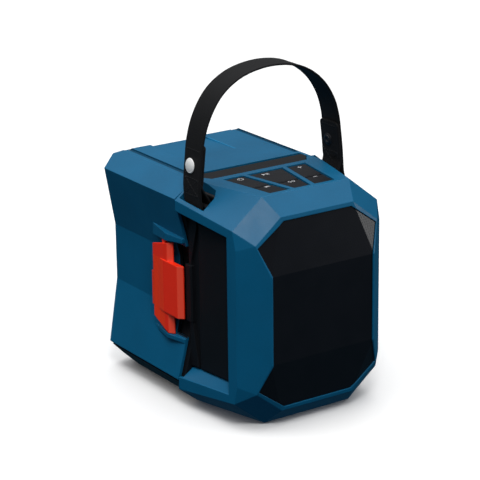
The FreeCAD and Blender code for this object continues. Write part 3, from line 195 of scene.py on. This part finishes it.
def moulded(name, color, rough=0.45, edge=0.0007, edge_wear_and_highlight=1.5, grain=0.35, level=0.2, painted_light=None):
    """Moulded plastic: spark-eroded grain, faint flow mottling, edges painted a little lighter, partly as
    rubbed wear and partly as a painted highlight.
    """
    made = Shade(name)
    cloud = made.noise(26, 3)
    speckle = made.noise(950, 2)
    body = made.mix(made.span(cloud, 0.3, 0.7), tint(color, 0.93), tint(color, 1.07))
    body = made.mix(made.span(speckle, 0.35, 0.65, 0, 0.22), body, tint(color, 1.25))
    # Patches of painted shade and painted highlight, mixed into the colour
    for inside, painted_color in painted_light(made) if painted_light else ():
        body = made.mix(inside, body, painted_color)
    normal, edges = made.rounded(edge)
    # Edges painted lighter: partly rubbed wear, partly a painted highlight where light catches them
    edge_wear_and_highlight_mask = made.math("MULTIPLY", edges, made.span(made.noise(120, 3), 0.25, 0.75, 0.35, 1.0))
    body = made.mix(made.math("MULTIPLY", edge_wear_and_highlight_mask, 0.65), body, tint(color, edge_wear_and_highlight))
    normal = made.bump(made.noise(1500, 3), grain, 0.00006, normal)
    normal = made.bump(cloud, 0.12, 0.0006, normal)
    shine = made.span(made.noise(60, 4), 0.25, 0.75, rough - 0.04, rough + 0.06)
    return made.set(Base_Color=body, Roughness=shine, Normal=normal, Specular_IOR_Level=level)


# Boxes in metres on the rear cover: painted shade in the catch opening and along the grooves, a painted
# highlight on the crest
CATCH_X, CATCH_Y, CATCH_Z = (-0.08, -0.054), (-0.0052, 0.0093), (0.0506, 0.1209)
COVER_TOP_Y, COVER_TOP_Z = (0.0125, 0.2), (0.15, 0.2)
LEFT_GROOVE_X, RIGHT_GROOVE_X = (-0.0468, -0.0443), (0.0498, 0.0519)
CREST_X, CREST_Y = (0.0172, 0.0186), (0.047, 0.084)


def cover_painted_light(made):
    """Painted shade: black on the walls of the catch opening and a darker blue along one side of each of the
    two top grooves; a painted highlight along the crest.
    """
    x, y, z = made.place()
    # The catch opening's walls, painted black as shade
    opening = made.every(made.within(x, *CATCH_X), made.within(y, *CATCH_Y), made.within(z, *CATCH_Z))
    top = made.every(made.within(z, *COVER_TOP_Z), made.within(y, *COVER_TOP_Y))
    # One side of each top groove, painted darker as shade
    left = made.every(top, made.within(x, *LEFT_GROOVE_X))
    right = made.every(top, made.within(x, *RIGHT_GROOVE_X))
    # The crest line, painted lighter as a highlight
    crest = made.every(top, made.within(x, *CREST_X), made.within(y, *CREST_Y))
    groove_shade = tint(BLUE, 0.42)
    return (opening, BLACK), (left, groove_shade), (right, groove_shade), (crest, tint(BLUE, 1.7))


# The latch's rear wing box and its chamfers' facing, both painted lighter as highlights
WING_Y, WING_Z = (0.0183, 0.05), (0.04, 0.1061)
CHAMFER_FACING = (-0.707, -0.707, 0)


def latch_painted_highlights(made):
    """Painted highlights: the latch's chamfers and its rear wing made lighter, as where light catches them.
    """
    _, y, z = made.place()
    facing = made.node("VectorMath", operation="DOT_PRODUCT")
    made.feed(facing.inputs[0], made.node("TexCoord").outputs["Normal"])
    facing.inputs[1].default_value = CHAMFER_FACING
    chamfer_highlight = made.span(facing.outputs["Value"], 0.9, 0.97)
    wing = made.every(made.within(y, *WING_Y), made.within(z, *WING_Z))
    return (wing, RED_WING_HIGHLIGHT), (chamfer_highlight, RED_CHAMFER_HIGHLIGHT)


HOLE_PITCH = 0.0021
ROW_SHARE = 0.866  # rows of a triangular pitch lie this share of the pitch apart


def perforated(name):
    """Powder-coated steel sheet with round holes on a close triangular pitch."""
    made = Shade(name)
    x, _, z = made.place()
    across = made.math("DIVIDE", x, HOLE_PITCH)
    along = made.math("DIVIDE", z, HOLE_PITCH * ROW_SHARE)
    row = made.math("FLOOR", along)
    odd = made.math("MULTIPLY", made.math("MODULO", made.math("ABSOLUTE", row), 2), 0.5)
    cell = made.math("SUBTRACT", made.math("FRACT", made.math("ADD", across, odd)), 0.5)
    lift = made.math("MULTIPLY", made.math("SUBTRACT", made.math("FRACT", along), 0.5), ROW_SHARE)
    reach = made.math("SQRT", made.math("ADD", made.math("MULTIPLY", cell, cell),
                                        made.math("MULTIPLY", lift, lift)))
    hole = made.span(reach, 0.36, 0.28)
    coat = made.mix(made.span(made.noise(60, 3), 0.3, 0.7), (0.0048, 0.0055, 0.0078), (0.0065, 0.0073, 0.01))
    color = made.mix(hole, coat, (0.0044, 0.005, 0.007))
    normal, edges = made.rounded(0.0008)
    # Edges painted lighter: partly wear, partly a painted highlight where light catches them
    color = made.mix(made.math("MULTIPLY", edges, 0.5), color, (0.02, 0.021, 0.024))
    normal = made.bump(made.noise(1400, 2), 0.25, 0.00005, normal)
    normal = made.bump(hole, 0.06, -0.0002, normal)
    shine = made.span(hole, 0, 1, 0.3, 0.35)
    return made.set(Base_Color=color, Roughness=shine, Normal=normal, Specular_IOR_Level=0.2)


def rubber(name, color, rough=0.62):
    """Matt rubber with a dusty mottling and a fine pebble."""
    made = Shade(name)
    dust = made.noise(45, 5, rough=0.65)
    body = made.mix(made.span(dust, 0.35, 0.75), color, tint(color, 1.6))
    normal, edges = made.rounded(0.0005)
    # Edges painted lighter: partly wear, partly a painted highlight where light catches them
    body = made.mix(made.math("MULTIPLY", edges, 0.5), body, tint(color, 2.2))
    normal = made.bump(made.noise(1100, 2), 0.4, 0.00007, normal)
    shine = made.span(made.noise(90, 3), 0.3, 0.7, rough - 0.06, rough + 0.1)
    return made.set(Base_Color=body, Roughness=shine, Normal=normal, Specular_IOR_Level=0.16)


def steel(name, color, metallic=1.0, rough=0.3):
    """Drawn or plated steel with fine lines and faint stains."""
    made = Shade(name)
    stretch = made.node("Mapping")
    made.feed(stretch.inputs["Vector"], made.coords())
    stretch.inputs["Scale"].default_value = (1, 0.06, 1)
    lines = made.noise(2600, 3, stretch.outputs[0])
    stain = made.noise(140, 4)
    body = made.mix(made.span(stain, 0.35, 0.7), color, tint(color, 0.8))
    shine = made.span(lines, 0.3, 0.7, rough - 0.06, rough + 0.1)
    normal, edges = made.rounded(0.0003)
    # Edges painted lighter: partly wear, partly a painted highlight where light catches them
    body = made.mix(made.math("MULTIPLY", edges, 0.4), body, tint(color, 1.3))
    normal = made.bump(lines, 0.2, 0.00003, normal)
    return made.set(Base_Color=body, Roughness=shine, Normal=normal, Metallic=metallic)


TWILL_COLUMN = 0.0015
TWILL_LEAN = 0.0011
TWILL_RIB = 0.0012


def webbing(name):
    """Woven strap: a twill of fine ribs that runs along the strap's own length."""
    made = Shade(name)
    spot = made.node("UVMap", uv_map="along")
    split = made.node("SeparateXYZ")
    made.feed(split.inputs[0], spot.outputs[0])
    along, across = split.outputs["X"], split.outputs["Y"]
    column = made.math("DIVIDE", across, TWILL_COLUMN)
    odd = made.math("MODULO", made.math("FLOOR", column), 2)
    lean = made.math("MULTIPLY", made.math("SUBTRACT", made.math("FRACT", column), 0.5), TWILL_LEAN)
    sway = made.math("MULTIPLY", lean, made.math("SUBTRACT", made.math("MULTIPLY", odd, 2), 1))
    rib = made.math("SINE", made.math("MULTIPLY", made.math("ADD", along, sway), 2 * math.pi / TWILL_RIB))
    cord = made.math("ABSOLUTE", made.math("SINE", made.math("MULTIPLY", column, math.pi)))
    weave = made.math("ADD", made.math("MULTIPLY", rib, 0.3), made.math("MULTIPLY", cord, 0.7))
    yarn = made.noise(2600, 3)
    fade = made.noise(55, 4)
    low, high = (0.0022, 0.0023, 0.0028), (0.0052, 0.0055, 0.0065)
    color = made.mix(made.span(weave, -0.2, 1.0), low, high)
    color = made.mix(made.span(fade, 0.4, 0.8, 0, 0.4), color, (0.0072, 0.0075, 0.0086))
    color = made.mix(made.span(yarn, 0.4, 0.8, 0, 0.3), color, (0.009, 0.0092, 0.0105))
    normal = made.bump(weave, 0.55, 0.00022)
    normal = made.bump(yarn, 0.3, 0.00007, normal)
    return made.set(Base_Color=color, Roughness=0.7, Normal=normal, Sheen_Weight=0.03,
                    Sheen_Roughness=0.4, Specular_IOR_Level=0.15)


def thread(name, color):
    """Twisted sewing thread."""
    made = Shade(name)
    twist = made.noise(3800, 2)
    body = made.mix(made.span(twist, 0.3, 0.7), color, tint(color, 1.8))
    normal = made.bump(twist, 0.5, 0.00006)
    return made.set(Base_Color=body, Roughness=0.6, Normal=normal, Specular_IOR_Level=0.4)


def board(name):
    """Circuit board: solder mask with tracks in squares of two directions."""
    made = Shade(name)
    cells = made.node("TexVoronoi", distance="CHEBYCHEV")
    made.feed(cells.inputs["Vector"], made.coords())
    cells.inputs["Scale"].default_value = 260
    track = made.span(cells.outputs["Distance"], 0.32, 0.4)
    body = made.mix(track, (0.006, 0.05, 0.022), (0.012, 0.11, 0.05))
    body = made.mix(made.span(made.noise(500, 1), 0.66, 0.7), body, (0.5, 0.5, 0.48))
    normal = made.bump(track, 0.4, 0.00004)
    return made.set(Base_Color=body, Roughness=0.35, Normal=normal)


def printed(name):
    """Pale key mark, screen printed with a slightly worn face."""
    made = Shade(name)
    worn = made.noise(900, 4)
    body = made.mix(made.span(worn, 0.45, 0.75, 0, 0.5), (0.55, 0.56, 0.58), (0.28, 0.29, 0.31))
    normal = made.bump(worn, 0.2, 0.00003)
    return made.set(Base_Color=body, Roughness=0.5, Normal=normal)


def paper(name):
    """Coated speaker cone with faint rings of fibre."""
    made = Shade(name)
    fibre = made.noise(700, 5, rough=0.7)
    body = made.mix(made.span(fibre, 0.3, 0.7), (0.01, 0.01, 0.011), (0.026, 0.026, 0.028))
    normal = made.bump(fibre, 0.4, 0.0001)
    return made.set(Base_Color=body, Roughness=0.55, Normal=normal)


def pale_floor(name):
    """Matt pale floor with a faint mottling."""
    made = Shade(name)
    cloud = made.noise(2.5, 3)
    body = made.mix(made.span(cloud, 0.3, 0.7), (0.88, 0.885, 0.89), (0.91, 0.91, 0.91))
    normal = made.bump(made.noise(260, 3), 0.05, 0.0002)
    return made.set(Base_Color=body, Roughness=0.6, Normal=normal, Specular_IOR_Level=0.2)


MATERIALS = {
    "shell_blue": moulded("shell_blue", BLUE, 0.38, 0.0008, 1.6),
    "shell_black": moulded("shell_black", BLACK, 0.5, 0.0006, 2.2, 0.5, 0.16),
    "grille_black": perforated("grille_black"),
    "latch_red": moulded("latch_red", RED, 0.36, 0.0009, 1.25, 0.2, 0.3, latch_painted_highlights),
    "webbing_black": webbing("webbing_black"),
    "key_grey": rubber("key_grey", (0.0062, 0.007, 0.0092), 0.5),
    "rubber_black": rubber("rubber_black", (0.005, 0.005, 0.0056)),
    "snap_grey": steel("snap_grey", (0.93, 0.93, 0.92), 0.05, 0.34),
    "steel": steel("steel", (0.55, 0.56, 0.58)),
    "steel_black": steel("steel_black", (0.02, 0.02, 0.023), 0.6, 0.42),
    "ferrite": steel("ferrite", (0.035, 0.034, 0.036), 0.3, 0.6),
    "cone_black": paper("cone_black"),
    "board_green": board("board_green"),
}
NODE_MATERIALS = {
    "rear_cover": moulded("cover_blue", BLUE, 0.38, 0.0008, 1.6, painted_light=cover_painted_light),
    "latch_pin": MATERIALS["steel_black"],
}


def dress_nodes():
    """Gives every node of the frame its material."""
    slots = {row["node"]: row["material_slot"] for row in frame["record"]["subparts"]}
    for node, thing in frame["nodes"].items():
        material = NODE_MATERIALS.get(node, MATERIALS[slots[node]])
        if not thing.material_slots:
            thing.data.materials.append(material)
        for slot in thing.material_slots:
            slot.material = material


# Strap. From here on lengths are in millimetres, and points become metres where a mesh is made

STRAP_WIDTH = 21.8
STRAP_THICK = 1.7
STRAP_CORNER = 3
STRAP_STEP = 0.6
TAIL_GAP = 0.15
STRAP_MIDDLE = -19.8
# The turn round each strap bar: the bar's place, half the turn's breadth and its lowest point
BAR_SIDE = 59
BAR_HEIGHT = 157.2
TURN_HALF = 3.1
TURN_LOW = 153.3
# Middle line of the standing arch: across and height, from bar to bar
ARCH = ((-62.4, 156.6), (-63.2, 163), (-63.6, 170), (-63.1, 178), (-61.9, 190), (-60.6, 201),
        (-57.5, 213), (-52.4, 224.2), (-45.2, 234.2), (-35.5, 242), (-23, 247.5), (-7, 250.3),
        (9, 249.8), (22.5, 246.4), (34.8, 239.8), (45, 230.2), (52.3, 218.2), (56.2, 206),
        (58.1, 193), (59.5, 180), (60.2, 170), (60.7, 163), (62.1, 156.6))
LEFT_TAIL = (45, 38, 31, 24, 18, 14)  # millimetres along the arch from its left end
RIGHT_TAIL = (14, 18, 24, 31, 38, 44)  # the same from its right end


def smooth_line(spots, step):
    """Points at equal steps along a smooth curve through the spots."""
    padded = [spots[0]] + list(spots) + [spots[-1]]
    dense = []
    for a, b, c, d in zip(padded, padded[1:], padded[2:], padded[3:]):
        for part in range(24):
            t = part / 24
            dense.append(0.5 * ((2 * b) + (c - a) * t + (2 * a - 5 * b + 4 * c - d) * t * t
                                + (3 * b - a - 3 * c + d) * t ** 3))
    dense.append(spots[-1])
    total = sum((q - p).length for p, q in zip(dense, dense[1:]))
    count = max(2, round(total / step))
    line, travelled, target = [dense[0]], 0.0, total / count
    for p, q in zip(dense, dense[1:]):
        length = (q - p).length
        while length > 0 and travelled + length >= target - 1e-9 and len(line) < count:
            line.append(p.lerp(q, (target - travelled) / length))
            target += total / count
        travelled += length
    line.append(dense[-1])
    return line


def outward(line, number):
    """Direction to the left of the line's own direction at one of its points."""
    ahead = (line[min(number + 1, len(line) - 1)] - line[max(number - 1, 0)]).normalized()
    return Vector((-ahead.z, 0, ahead.x))


def beside(line, reach):
    """The line's points moved outward."""
    return [spot + outward(line, number) * reach for number, spot in enumerate(line)]


def strap_line():
    """Middle line of the strap from one sewn tail to the other."""
    arch = [Vector((across, 0, height)) for across, height in ARCH]
    fine = smooth_line(arch, 1)
    inner = beside(fine, -(STRAP_THICK + TAIL_GAP))
    left_tail = [inner[number] for number in LEFT_TAIL]
    right_tail = [inner[-number] for number in RIGHT_TAIL]
    turn = [(BAR_SIDE - TURN_HALF, BAR_HEIGHT + 3), (BAR_SIDE - TURN_HALF, BAR_HEIGHT - 1.6),
            (BAR_SIDE - TURN_HALF * 0.72, TURN_LOW + 0.95), (BAR_SIDE, TURN_LOW),
            (BAR_SIDE + TURN_HALF * 0.76, TURN_LOW + 0.95)]
    left_turn = [Vector((-across, 0, height)) for across, height in turn]
    right_turn = [Vector((across, 0, height)) for across, height in reversed(turn)]
    return smooth_line(left_tail + left_turn + arch + right_turn + right_tail, STRAP_STEP)


# Distance in from the edge, and height as a share of half the thickness
SELVEDGE = ((3.4, 0.94), (1.6, 0.9), (0.9, 1.0), (0.3, 0.78), (0, 0.3))


def strap_section():
    """Outline of the webbing across its width: flat faces and thick rounded selvedges."""
    half, thick = STRAP_WIDTH / 2, STRAP_THICK / 2
    outline = []
    for side in (1, -1):
        for inset, lift in SELVEDGE:
            outline.append((side * (half - inset), side * lift * thick))
        for inset, lift in reversed(SELVEDGE):
            outline.append((side * (half - inset), -side * lift * thick))
    return outline


def build_strap():
    """The webbing: one section swept along the strap's line, with rounded corners at both tails."""
    line = strap_line()
    section = strap_section()
    last = len(line) - 1
    mesh = bpy.data.meshes.new("strap_webbing")
    work = bmesh.new()
    layer = work.loops.layers.uv.new("along")
    rings = []
    for number, spot in enumerate(line):
        out = outward(line, number)
        short = max(0.0, STRAP_CORNER - min(number, last - number) * STRAP_STEP)
        narrow = 1 - (STRAP_CORNER - math.sqrt(STRAP_CORNER ** 2 - short ** 2)) * 2 / STRAP_WIDTH
        ring = []
        for across, lift in section:
            place = spot + out * lift + Vector((0, STRAP_MIDDLE - across * narrow, 0))
            ring.append(work.verts.new(place * MM))
        rings.append(ring)
    travelled = 0.0
    for number, (near, far) in enumerate(zip(rings, rings[1:])):
        length = (line[number + 1] - line[number]).length * MM
        for k in range(len(section)):
            after = (k + 1) % len(section)
            face = work.faces.new((near[k], near[after], far[after], far[k]))
            face.smooth = True
            ends = (travelled, travelled, travelled + length, travelled + length)
            sides = (section[k][0], section[after][0], section[after][0], section[k][0])
            for loop, along, across in zip(face.loops, ends, sides):
                loop[layer].uv = (along, (across + STRAP_WIDTH) * MM)
        travelled += length
    for ring in (rings[0][::-1], rings[-1]):
        work.faces.new(ring)
    bmesh.ops.recalc_face_normals(work, faces=work.faces)
    work.to_mesh(mesh)
    work.free()
    mesh.materials.append(MATERIALS["webbing_black"])
    strap = add_piece("strap_webbing", mesh)
    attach(strap, "strap")
    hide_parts("strap")
    return line


def add_piece(name, mesh):
    """An object of this mesh, in the scene."""
    thing = bpy.data.objects.new(name, mesh)
    bpy.context.scene.collection.objects.link(thing)
    return thing


def leg_feet(line):
    """For each leg: where the arch leaves the bar, and the way up from there."""
    feet = []
    for (across, height), way in ((ARCH[0], 1), (ARCH[-1], -1)):
        foot = Vector((across, 0, height))
        feet.append((min(range(len(line)), key=lambda number: (line[number] - foot).length), way))
    return feet


STITCH_INSET = 2.6
BOX_LOW, BOX_HIGH, TACK = 8, 20, 40  # above the bar, along the leg
STITCH_LENGTH = 2.6
STITCH_SHARE = (0.12, 0.88)
THREAD_RADIUS = 0.00025  # metres


def stitch_rows(line):
    """Box stitch with a cross below each stud and a bar tack near each tail's end, on both faces."""
    work = bmesh.new()
    side = STRAP_WIDTH / 2 - STITCH_INSET
    for foot, way in leg_feet(line):
        low, high, tack = (foot + way * round(rise / STRAP_STEP) for rise in (BOX_LOW, BOX_HIGH, TACK))
        corners = [(low, -side), (low, side), (high, side), (high, -side), (low, -side), (high, side)]
        rows = list(zip(corners, corners[1:])) + [((high, -side), (low, side))]
        rows.append(((tack, -side), (tack, side)))
        for (start, y_start), (end, y_end) in rows:
            for lift in (STRAP_THICK / 2, -STRAP_THICK * 1.5 - TAIL_GAP):
                sew_row(work, line, lift, start, y_start, end, y_end)
    mesh = bpy.data.meshes.new("strap_stitches")
    work.to_mesh(mesh)
    work.free()
    mesh.materials.append(thread("strap_thread", (0.004, 0.004, 0.005)))
    for face in mesh.polygons:
        face.use_smooth = True
    stitches = add_piece("strap_stitches", mesh)
    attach(stitches, "strap")


def sew_row(work, line, lift, start, y_start, end, y_end):
    """Stitches from one place on the strap to another, on the face at this lift."""
    length = math.hypot((end - start) * STRAP_STEP, y_end - y_start)
    count = max(1, round(length / STITCH_LENGTH))
    for number in range(count):
        spots = []
        for part in STITCH_SHARE:
            share = (number + part) / count
            place = start + (end - start) * share
            low = math.floor(place)
            spot = line[low].lerp(line[low + 1], place - low) + outward(line, low) * lift
            across = y_start + (y_end - y_start) * share
            spots.append((spot + Vector((0, STRAP_MIDDLE + across, 0))) * MM)
        add_stitch(work, spots[0], spots[1], THREAD_RADIUS)


def add_stitch(work, start, end, radius):
    """One stitch: a short bead, thick in the middle and sunk at its ends."""
    along = end - start
    turn = along.to_track_quat("Z", "Y").to_matrix()
    rings = []
    for part, size in ((0, 0.35), (0.15, 0.8), (0.5, 1.0), (0.85, 0.8), (1, 0.35)):
        centre = start + along * part
        ring = []
        for k in range(6):
            angle = k * math.pi / 3
            ring.append(work.verts.new(centre + turn @ Vector((math.cos(angle), math.sin(angle), 0))
                                       * radius * size))
        rings.append(ring)
    for near, far in zip(rings, rings[1:]):
        for k in range(6):
            work.faces.new((near[k], near[(k + 1) % 6], far[(k + 1) % 6], far[k]))
    work.faces.new(rings[0][::-1])
    work.faces.new(rings[-1])


# Press studs

STUD_HEIGHT = 184.5
STUD_PLACE = -17.3
STUD_SIDES = 48
# Radius and height of each ring, from the middle of the face outward
CAP_PROFILE = ((0, 1.5), (1.6, 1.46), (3, 1.28), (3.9, 1.02), (4.3, 0.84), (4.5, 0.72), (4.7, 0.78),
               (5, 0.76), (5.25, 0.6), (5.4, 0.35), (5.42, 0.1), (5.3, -0.1), (5, -0.3))
SOCKET_PROFILE = ((0, 0.45), (1.5, 0.45), (1.7, 0.85), (2, 1.1), (2.5, 1.2), (3, 1.1), (3.3, 0.8),
                  (3.4, 0.45), (4.1, 0.4), (4.5, 0.25), (4.7, 0), (4.7, -0.2))


def turned(name, profile, centre, axis, material):
    """Piece turned from a profile of radius and height, set on a face of the strap."""
    work = bmesh.new()
    upright = axis.to_track_quat("Z", "Y").to_matrix()
    rings = []
    for radius, height in profile[1:]:
        ring = []
        for k in range(STUD_SIDES):
            angle = 2 * math.pi * k / STUD_SIDES
            spot = Vector((radius * math.cos(angle), radius * math.sin(angle), height))
            ring.append(work.verts.new((centre + upright @ spot) * MM))
        rings.append(ring)
    peak = work.verts.new((centre + upright @ Vector((0, 0, profile[0][1]))) * MM)
    for k in range(STUD_SIDES):
        after = (k + 1) % STUD_SIDES
        work.faces.new((peak, rings[0][k], rings[0][after]))
        for near, far in zip(rings, rings[1:]):
            work.faces.new((near[k], far[k], far[after], near[after]))
    work.faces.new(rings[-1][::-1])
    for face in work.faces:
        face.smooth = len(face.verts) < STUD_SIDES
    mesh = bpy.data.meshes.new(name)
    work.to_mesh(mesh)
    work.free()
    mesh.materials.append(material)
    piece = add_piece(name, mesh)
    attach(piece, "strap")
    return piece


def build_studs(line):
    """On each leg, a domed cap on the outer face and its socket on the sewn tail."""
    for (foot, way), side in zip(leg_feet(line), ("left", "right")):
        number = foot
        while line[number].z < STUD_HEIGHT:
            number += way
        out = outward(line, number)
        spot = line[number] + Vector((0, STUD_PLACE, 0))
        cap = turned(f"stud_cap_{side}", CAP_PROFILE, spot + out * (STRAP_THICK / 2), out,
                     MATERIALS["snap_grey"])
        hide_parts(f"strap_snap_{side}")
        turned(f"stud_socket_{side}", SOCKET_PROFILE, spot - out * (STRAP_THICK * 1.5 + TAIL_GAP), -out,
               MATERIALS["steel_black"])


# Key marks

# Height of the keys' faces, and how far the marks stand above and reach below it
KEY_TOP = 169.3
MARK_THICK = 0.06
MARK_SUNK = 0.02
BACK_ROW, FRONT_ROW = -22.6, -48.2
MARK = printed("key_mark")


def flat_mark(name, body, shapes):
    """Thin raised shapes on a key's face, each an outline in millimetres."""
    work = bmesh.new()
    for outline in shapes:
        top = [work.verts.new(Vector((x, y, KEY_TOP + MARK_THICK)) * MM) for x, y in outline]
        low = [work.verts.new(Vector((x, y, KEY_TOP - MARK_SUNK)) * MM) for x, y in outline]
        work.faces.new(top)
        for k in range(len(outline)):
            after = (k + 1) % len(outline)
            work.faces.new((low[k], low[after], top[after], top[k]))
    mesh = bpy.data.meshes.new(name)
    work.to_mesh(mesh)
    work.free()
    mesh.materials.append(MARK)
    mark = add_piece(name, mesh)
    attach(mark, body)


def arc_band(x, y, radius, width, start, end, count=14):
    """Curved band of a ring between two angles in degrees."""
    outer, inner = [], []
    for k in range(count + 1):
        angle = math.radians(start + (end - start) * k / count)
        outer.append((x + radius * math.cos(angle), y + radius * math.sin(angle)))
        inner.append((x + (radius - width) * math.cos(angle), y + (radius - width) * math.sin(angle)))
    return outer + inner[::-1]


def bar(x, y, width, depth):
    """Upright rectangle about a middle."""
    return [(x - width / 2, y - depth / 2), (x + width / 2, y - depth / 2),
            (x + width / 2, y + depth / 2), (x - width / 2, y + depth / 2)]


def key_marks():
    """One generic mark on each of the six keys."""
    x, y = -24.6, BACK_ROW
    flat_mark("mark_power", "key_power",
              [arc_band(x, y, 2.3, 0.5, 125, 415), bar(x, y + 1.6, 0.5, 2.3)])
    x, y = -19.4, FRONT_ROW
    flat_mark("mark_source", "key_source",
              [[(x - 2.2, y + 0.7), (x + 0.7, y + 0.7), (x + 0.7, y + 1.6), (x + 2.2, y + 0.45),
                (x + 0.7, y + 0.2), (x - 2.2, y + 0.2)],
               [(x + 2.2, y - 0.7), (x - 0.7, y - 0.7), (x - 0.7, y - 1.6), (x - 2.2, y - 0.45),
                (x - 0.7, y - 0.2), (x + 2.2, y - 0.2)]])
    x, y = -3.4, BACK_ROW
    flat_mark("mark_play", "key_play",
              [[(x - 2.3, y - 1.7), (x + 0.4, y), (x - 2.3, y + 1.7)], bar(x + 1.4, y, 0.6, 3.2),
               bar(x + 2.6, y, 0.6, 3.2)])
    x, y = 1.6, FRONT_ROW
    flat_mark("mark_pair", "key_pair",
              [arc_band(x - 1.2, y, 1.5, 0.45, 60, 300), arc_band(x + 1.2, y, 1.5, 0.45, -120, 120),
               bar(x, y, 2.2, 0.45)])
    x, y = 27, BACK_ROW
    flat_mark("mark_up", "key_volume_up", [bar(x, y, 3.6, 0.65), bar(x, y + 1.1, 0.65, 1.5),
                                           bar(x, y - 1.1, 0.65, 1.5)])
    flat_mark("mark_down", "key_volume_down", [bar(22.4, FRONT_ROW, 3.4, 0.65)])


# Stage, in metres and watts

SKY_STRENGTH = 2.6
SKY_LOW = (0.007, 0.022, 0.034)
# Height on the unit sphere, and brightness there
SKY_STEPS = ((0.06, 0.018), (0.3, 0.06), (0.5, 0.15), (0.7, 0.38), (0.85, 0.7))
FLOOR_HALF = 4
FLOOR_DROP = 0.0003
# Name, place, aim, side and power of each soft box
SOFT_BOXES = (("front_box", (-0.5, -0.91, 1.25), (0, 0, 0.1), 0.36, 8),
              ("left_box", (-0.8, 0.35, 1.4), (0, 0, 0.1), 0.9, 4),
              ("right_box", (1.25, -0.84, 0.21), (0, 0, 0.12), 0.3, 3))


def soft_box(name, place, aim, side, power):
    """Square area light turned to its aim."""
    data = bpy.data.lights.new(name, "AREA")
    data.shape = "SQUARE"
    data.size = side
    data.energy = power
    light = bpy.data.objects.new(name, data)
    light.location = place
    light.rotation_euler = (Vector(aim) - Vector(place)).to_track_quat("-Z", "Y").to_euler()
    bpy.context.scene.collection.objects.link(light)


def studio_sky():
    """Sky: bright overhead, dim at the horizon, nearly dark below, and plain white to the camera."""
    world = bpy.data.worlds.new("studio")
    world.use_nodes = True
    tree = world.node_tree
    place = tree.nodes.new("ShaderNodeTexCoord")
    split = tree.nodes.new("ShaderNodeSeparateXYZ")
    ramp = tree.nodes.new("ShaderNodeValToRGB")
    tree.links.new(place.outputs["Generated"], split.inputs[0])
    tree.links.new(split.outputs["Z"], ramp.inputs["Fac"])
    tree.links.new(ramp.outputs["Color"], tree.nodes["Background"].inputs["Color"])
    ramp.color_ramp.elements[0].position = 0.0
    ramp.color_ramp.elements[0].color = (*SKY_LOW, 1)
    ramp.color_ramp.elements[1].position = 1.0
    ramp.color_ramp.elements[1].color = (1, 1, 1, 1)
    for height, light in SKY_STEPS:
        stop = ramp.color_ramp.elements.new(height)
        stop.color = (light, light, light, 1)
    tree.nodes["Background"].inputs["Strength"].default_value = SKY_STRENGTH
    paper_wall = tree.nodes.new("ShaderNodeBackground")
    paper_wall.inputs["Color"].default_value = (1, 1, 1, 1)
    path = tree.nodes.new("ShaderNodeLightPath")
    pick = tree.nodes.new("ShaderNodeMixShader")
    tree.links.new(path.outputs["Is Camera Ray"], pick.inputs[0])
    tree.links.new(tree.nodes["Background"].outputs[0], pick.inputs[1])
    tree.links.new(paper_wall.outputs[0], pick.inputs[2])
    tree.links.new(pick.outputs[0], tree.nodes["World Output"].inputs["Surface"])
    bpy.context.scene.world = world


def build_stage():
    """Pale floor, sky and soft boxes. The floor throws no light back on the object."""
    work = bmesh.new()
    bmesh.ops.create_grid(work, x_segments=8, y_segments=8, size=FLOOR_HALF)
    mesh = bpy.data.meshes.new("floor")
    work.to_mesh(mesh)
    work.free()
    mesh.materials.append(pale_floor("floor_pale"))
    floor = add_piece("floor", mesh)
    floor.location.z = -FLOOR_DROP
    floor.visible_diffuse = False
    floor.visible_glossy = False
    studio_sky()
    for box in SOFT_BOXES:
        soft_box(*box)
    bpy.context.scene.view_settings.view_transform = "Standard"


make_camera()
dress_nodes()
line = build_strap()
stitch_rows(line)
build_studs(line)
key_marks()
build_stage()
